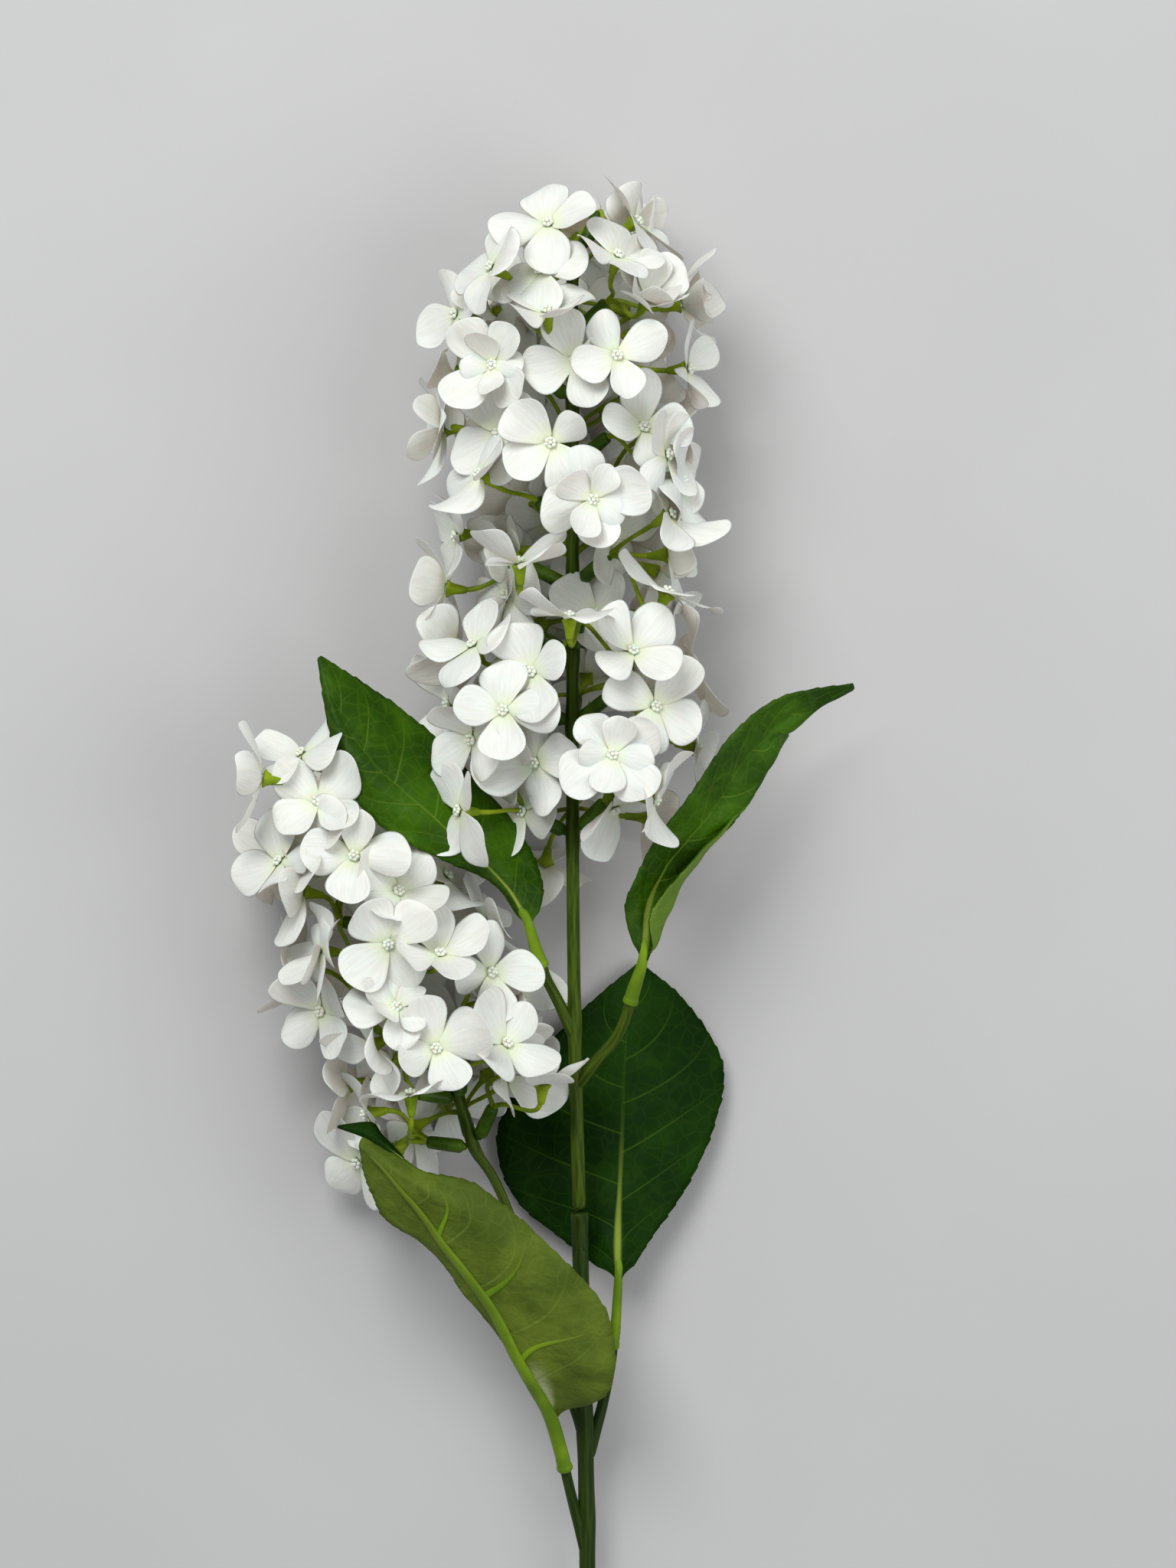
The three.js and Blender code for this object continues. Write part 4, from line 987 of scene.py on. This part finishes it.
def addPetiole(piece, name, leaf, rails, ribAt):
    point, along = branchEnd(name)
    line, radii = [], []
    for distance, share in petiole["sleeve"]:
        line.append(point + along * distance)
        radii.append(leaf["sleeveRadius"] * share)
    steps = petiole["steps"]
    ribWidth = leaf["ribWidth"]
    for i in range(steps + 1):
        u = petiole["start"] + petiole["reach"] * i / steps
        radius = ribWidth + (petiole["tipRadius"] - ribWidth) * (i / steps) ** petiole["taper"]
        sunk = leaf["ribProud"] * min(1, u / petiole["sinks"])
        line.append(onBlade(leaf, rails, ribAt, u, ribAt, blade["thickness"] / 2 + radius * sunk))
        radii.append(radius)
    smooth = spline(line)
    count = 3 * (len(line) - 1)  # three rings from each point to the next
    sizes = []
    for i in range(count + 1):
        here, after = radii[i // 3], radii[min(i // 3 + 1, len(radii) - 1)]
        sizes.append(here + (after - here) * (i % 3) / 3)
    ribStarts = 3 * len(petiole["sleeve"])

    def section(turn, row):
        # round at the sleeve, low under the blade
        share = max(0, min(1, (row - ribStarts + 3) / 6))
        return 1 + (flattened(turn) - 1) * share

    standOff = bladeNormal(rails, 0.05, ribAt)
    line = [smooth(i / count) for i in range(count + 1)]
    addPart(piece, makeTube(line, sizes, petiole["sides"], standOff, section), 0)


def addSideRibs(piece, leaf, rails, ribAt):
    # the moulded midrib of the front leaf has three side ribs that sink into the blade
    for route, thick in leaf["sideRibs"]:
        path = spline(route)
        line, radii = [], []
        steps = petiole["sideSteps"]
        for i in range(steps + 1):
            u, v = path(i / steps)
            radius = thick * (1 - petiole["sideTaper"] * i / steps)
            below = blade["thickness"] / 2 + petiole["sideProud"] * radius
            line.append(onBlade(leaf, rails, ribAt, u, v, below))
            radii.append(radius)
        standOff = bladeNormal(rails, *path(0))
        addPart(piece, makeTube(line, radii, petiole["sideSides"], standOff, flattened), 0)


for name, leaf in leaves.items():
    rails = [spline(rail) for rail in leaf["rails"]]
    ribAt = 1 / (len(leaf["rails"]) - 1)
    node = "upper_left" if name == "upperLeft" else name
    piece = newPart()
    addPart(piece, makeBlade(leaf, rails, ribAt), 0)
    if "flap" in leaf:
        addPart(piece, makeFlap(*leaf["flap"]), 1)
    look = [leaf["over"], leaf["under"]] if leaf["faces"] > 0 else [leaf["under"], leaf["over"]]
    made = finishPiece(piece, f"{name}Leaf", look, [f"leaf_{node}"], smoothing=0)
    wall = made.modifiers.new("thickness", "SOLIDIFY")
    wall.thickness = blade["thickness"] * mm
    wall.offset = 0
    wall.material_offset = 1
    wall.material_offset_rim = 0
    piece = newPart()
    addPetiole(piece, name, leaf, rails, ribAt)
    if "sideRibs" in leaf:
        addSideRibs(piece, leaf, rails, ribAt)
    finishPiece(piece, f"{name}Petiole", ["petiole"], [f"petiole_{node}"])
print("leaves made")


stemLook = {
    "spacing": 5, "sides": 16, "branchSides": 12, "grainLength": 600, "shortGrain": 0.06,
    "ridges": 5, "ridge": 0.035, "wander": 0.5, "wanderStep": 0.23,  # the ridges wander along it, in radians
    "mouldLine": 0.06, "mouldSharpness": 12,
    "swelling": 0.22, "swellingLength": 3.2,
    "lowerForks": (204, 232), "upperForks": (349, 368),
    "taper": 0.2,        # how much thinner the upper stem is at its top
    "sideRadius": 1.65,  # the side stem is slimmer than its solid
    "branchRadii": (2.2, 2.15, 2.1, 2.0, 1.95, 1.9, 1.85, 1.8, 1.8, 1.8, 1.85, 1.5, 1.2),
    "plug": (1.0, 2.0),  # how far a branch goes on into what sits on it
}
# The collar at the lower stem's end: its place in the route, distances from its end and radii there.
collar = {
    "point": 8,
    "outline": ((-14, 2.6), (-12.6, 2.85), (-3.2, 2.9), (-2.4, 3.2), (-0.5, 3.2), (-0.1, 3.0), (0.0, 2.3)),
}


def stemRidges(turn, row):
    # lengthwise ridges and the two mould lines of a moulded stem
    wander = stemLook["wander"] * math.sin(row * stemLook["wanderStep"])
    ridges = stemLook["ridge"] * math.cos(stemLook["ridges"] * turn + wander)
    mould = stemLook["mouldLine"] * max(0, math.cos(2 * turn)) ** stemLook["mouldSharpness"]
    return 1 + ridges + mould


def addStem(piece, points, radius, swellings=(), taper=0.0):
    # swellings are heights where sprays sit, each a little thicker
    curve = spline(points)
    length = sum((Vector(b) - Vector(a)).length for a, b in zip(points, points[1:]))
    count = round(length / stemLook["spacing"])
    line = [curve(i / count) for i in range(count + 1)]
    radii = []
    for i, spot in enumerate(line):
        swelling = sum(math.exp(-((spot.y - y) / stemLook["swellingLength"]) ** 2) for y in swellings)
        radii.append(radius * (1 - taper * i / count) * (1 + stemLook["swelling"] * swelling))
    share = length / stemLook["grainLength"]
    addPart(piece, makeTube(line, radii, stemLook["sides"], (0, 0, 1), stemRidges, share), 0)


def addBranch(piece, name):
    curve = spline(branches[name])
    point, along = branchEnd(name)
    line = [curve(i / 10) for i in range(11)] + [point + along * distance for distance in stemLook["plug"]]
    tube = makeTube(line, stemLook["branchRadii"], stemLook["branchSides"], mapLength=stemLook["shortGrain"])
    addPart(piece, tube, 0)


mainWhorls = sorted({row[0] for row in mainHead["sprays"]})
sideWhorls = sorted({row[0] for row in sideHead["sprays"]})
collarEnd = Vector(stemRoute[collar["point"]])
collarAlong = tangent(spline(stemRoute), collar["point"] / (len(stemRoute) - 1))

piece = newPart()
addStem(piece, stemRoute[:collar["point"] + 1], stem["lowerRadius"], stemLook["lowerForks"])
addTurned(piece, collarEnd, collarAlong, collar["outline"], stemLook["sides"], 0,
          mapLength=stemLook["shortGrain"])
for name in ("front", "back", "side"):
    addBranch(piece, name)
finishPiece(piece, "lowerStem", ["lowerStem"], ["lower_stem"])

piece = newPart()
upperPoints = [list(collarEnd + collarAlong * gap)] + stemRoute[collar["point"] + 1:]
addStem(piece, upperPoints, stem["upperRadius"], [*stemLook["upperForks"], *mainWhorls], stemLook["taper"])
for name in ("right", "upperLeft"):
    addBranch(piece, name)
finishPiece(piece, "upperStem", ["upperStem"], ["upper_stem"])

piece = newPart()
point, along = branchEnd("side")
addStem(piece, [list(point + along * gap)] + sideRoute[1:], stemLook["sideRadius"], sideWhorls)
finishPiece(piece, "sideStem", ["upperStem"], ["side_stem"])

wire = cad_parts["wire_core"]
wire.data.materials.clear()
wire.data.materials.append(materials["wire"])
print("stems made")


studio = {
    "floorSize": 24, "floorLight": (0.5, 0.5, 0.495), "floorDark": (0.485, 0.485, 0.48),
    "keyPlace": (-0.4, 1.25, 1.3), "keySize": 0.8, "keyPower": 18,
    "fillPlace": (0.9, 0.3, 1.1), "fillSize": 1.0, "fillPower": 7,
    "aim": (-0.02, 0.44, 0.03),
    "sky": (0.95, 0.97, 1.0, 1), "skyStrength": 0.4,
}

floorPart = bmesh.new()
bmesh.ops.create_grid(floorPart, x_segments=1, y_segments=1, size=studio["floorSize"] / 2)
floor = addObject("floor", toMesh(floorPart, "floor"))
floor.data.materials.append(makePlainMaterial(
    "floorPaper", studio["floorLight"], studio["floorDark"], 0.85, scale=6, depth=0.001))


def addLight(name, place, size, power):
    light = addObject(name, bpy.data.lights.new(name, "AREA"))
    light.data.size = size
    light.data.energy = power
    light.location = place
    aim = Vector(studio["aim"]) - Vector(place)
    light.rotation_euler = aim.to_track_quat("-Z", "Y").to_euler()


addLight("keyLight", studio["keyPlace"], studio["keySize"], studio["keyPower"])
addLight("fillLight", studio["fillPlace"], studio["fillSize"], studio["fillPower"])
world = bpy.data.worlds.new("softSky")
bpy.context.scene.world = world
world.use_nodes = True
world.node_tree.nodes["Background"].inputs["Color"].default_value = studio["sky"]
world.node_tree.nodes["Background"].inputs["Strength"].default_value = studio["skyStrength"]
print("floor and light placed")
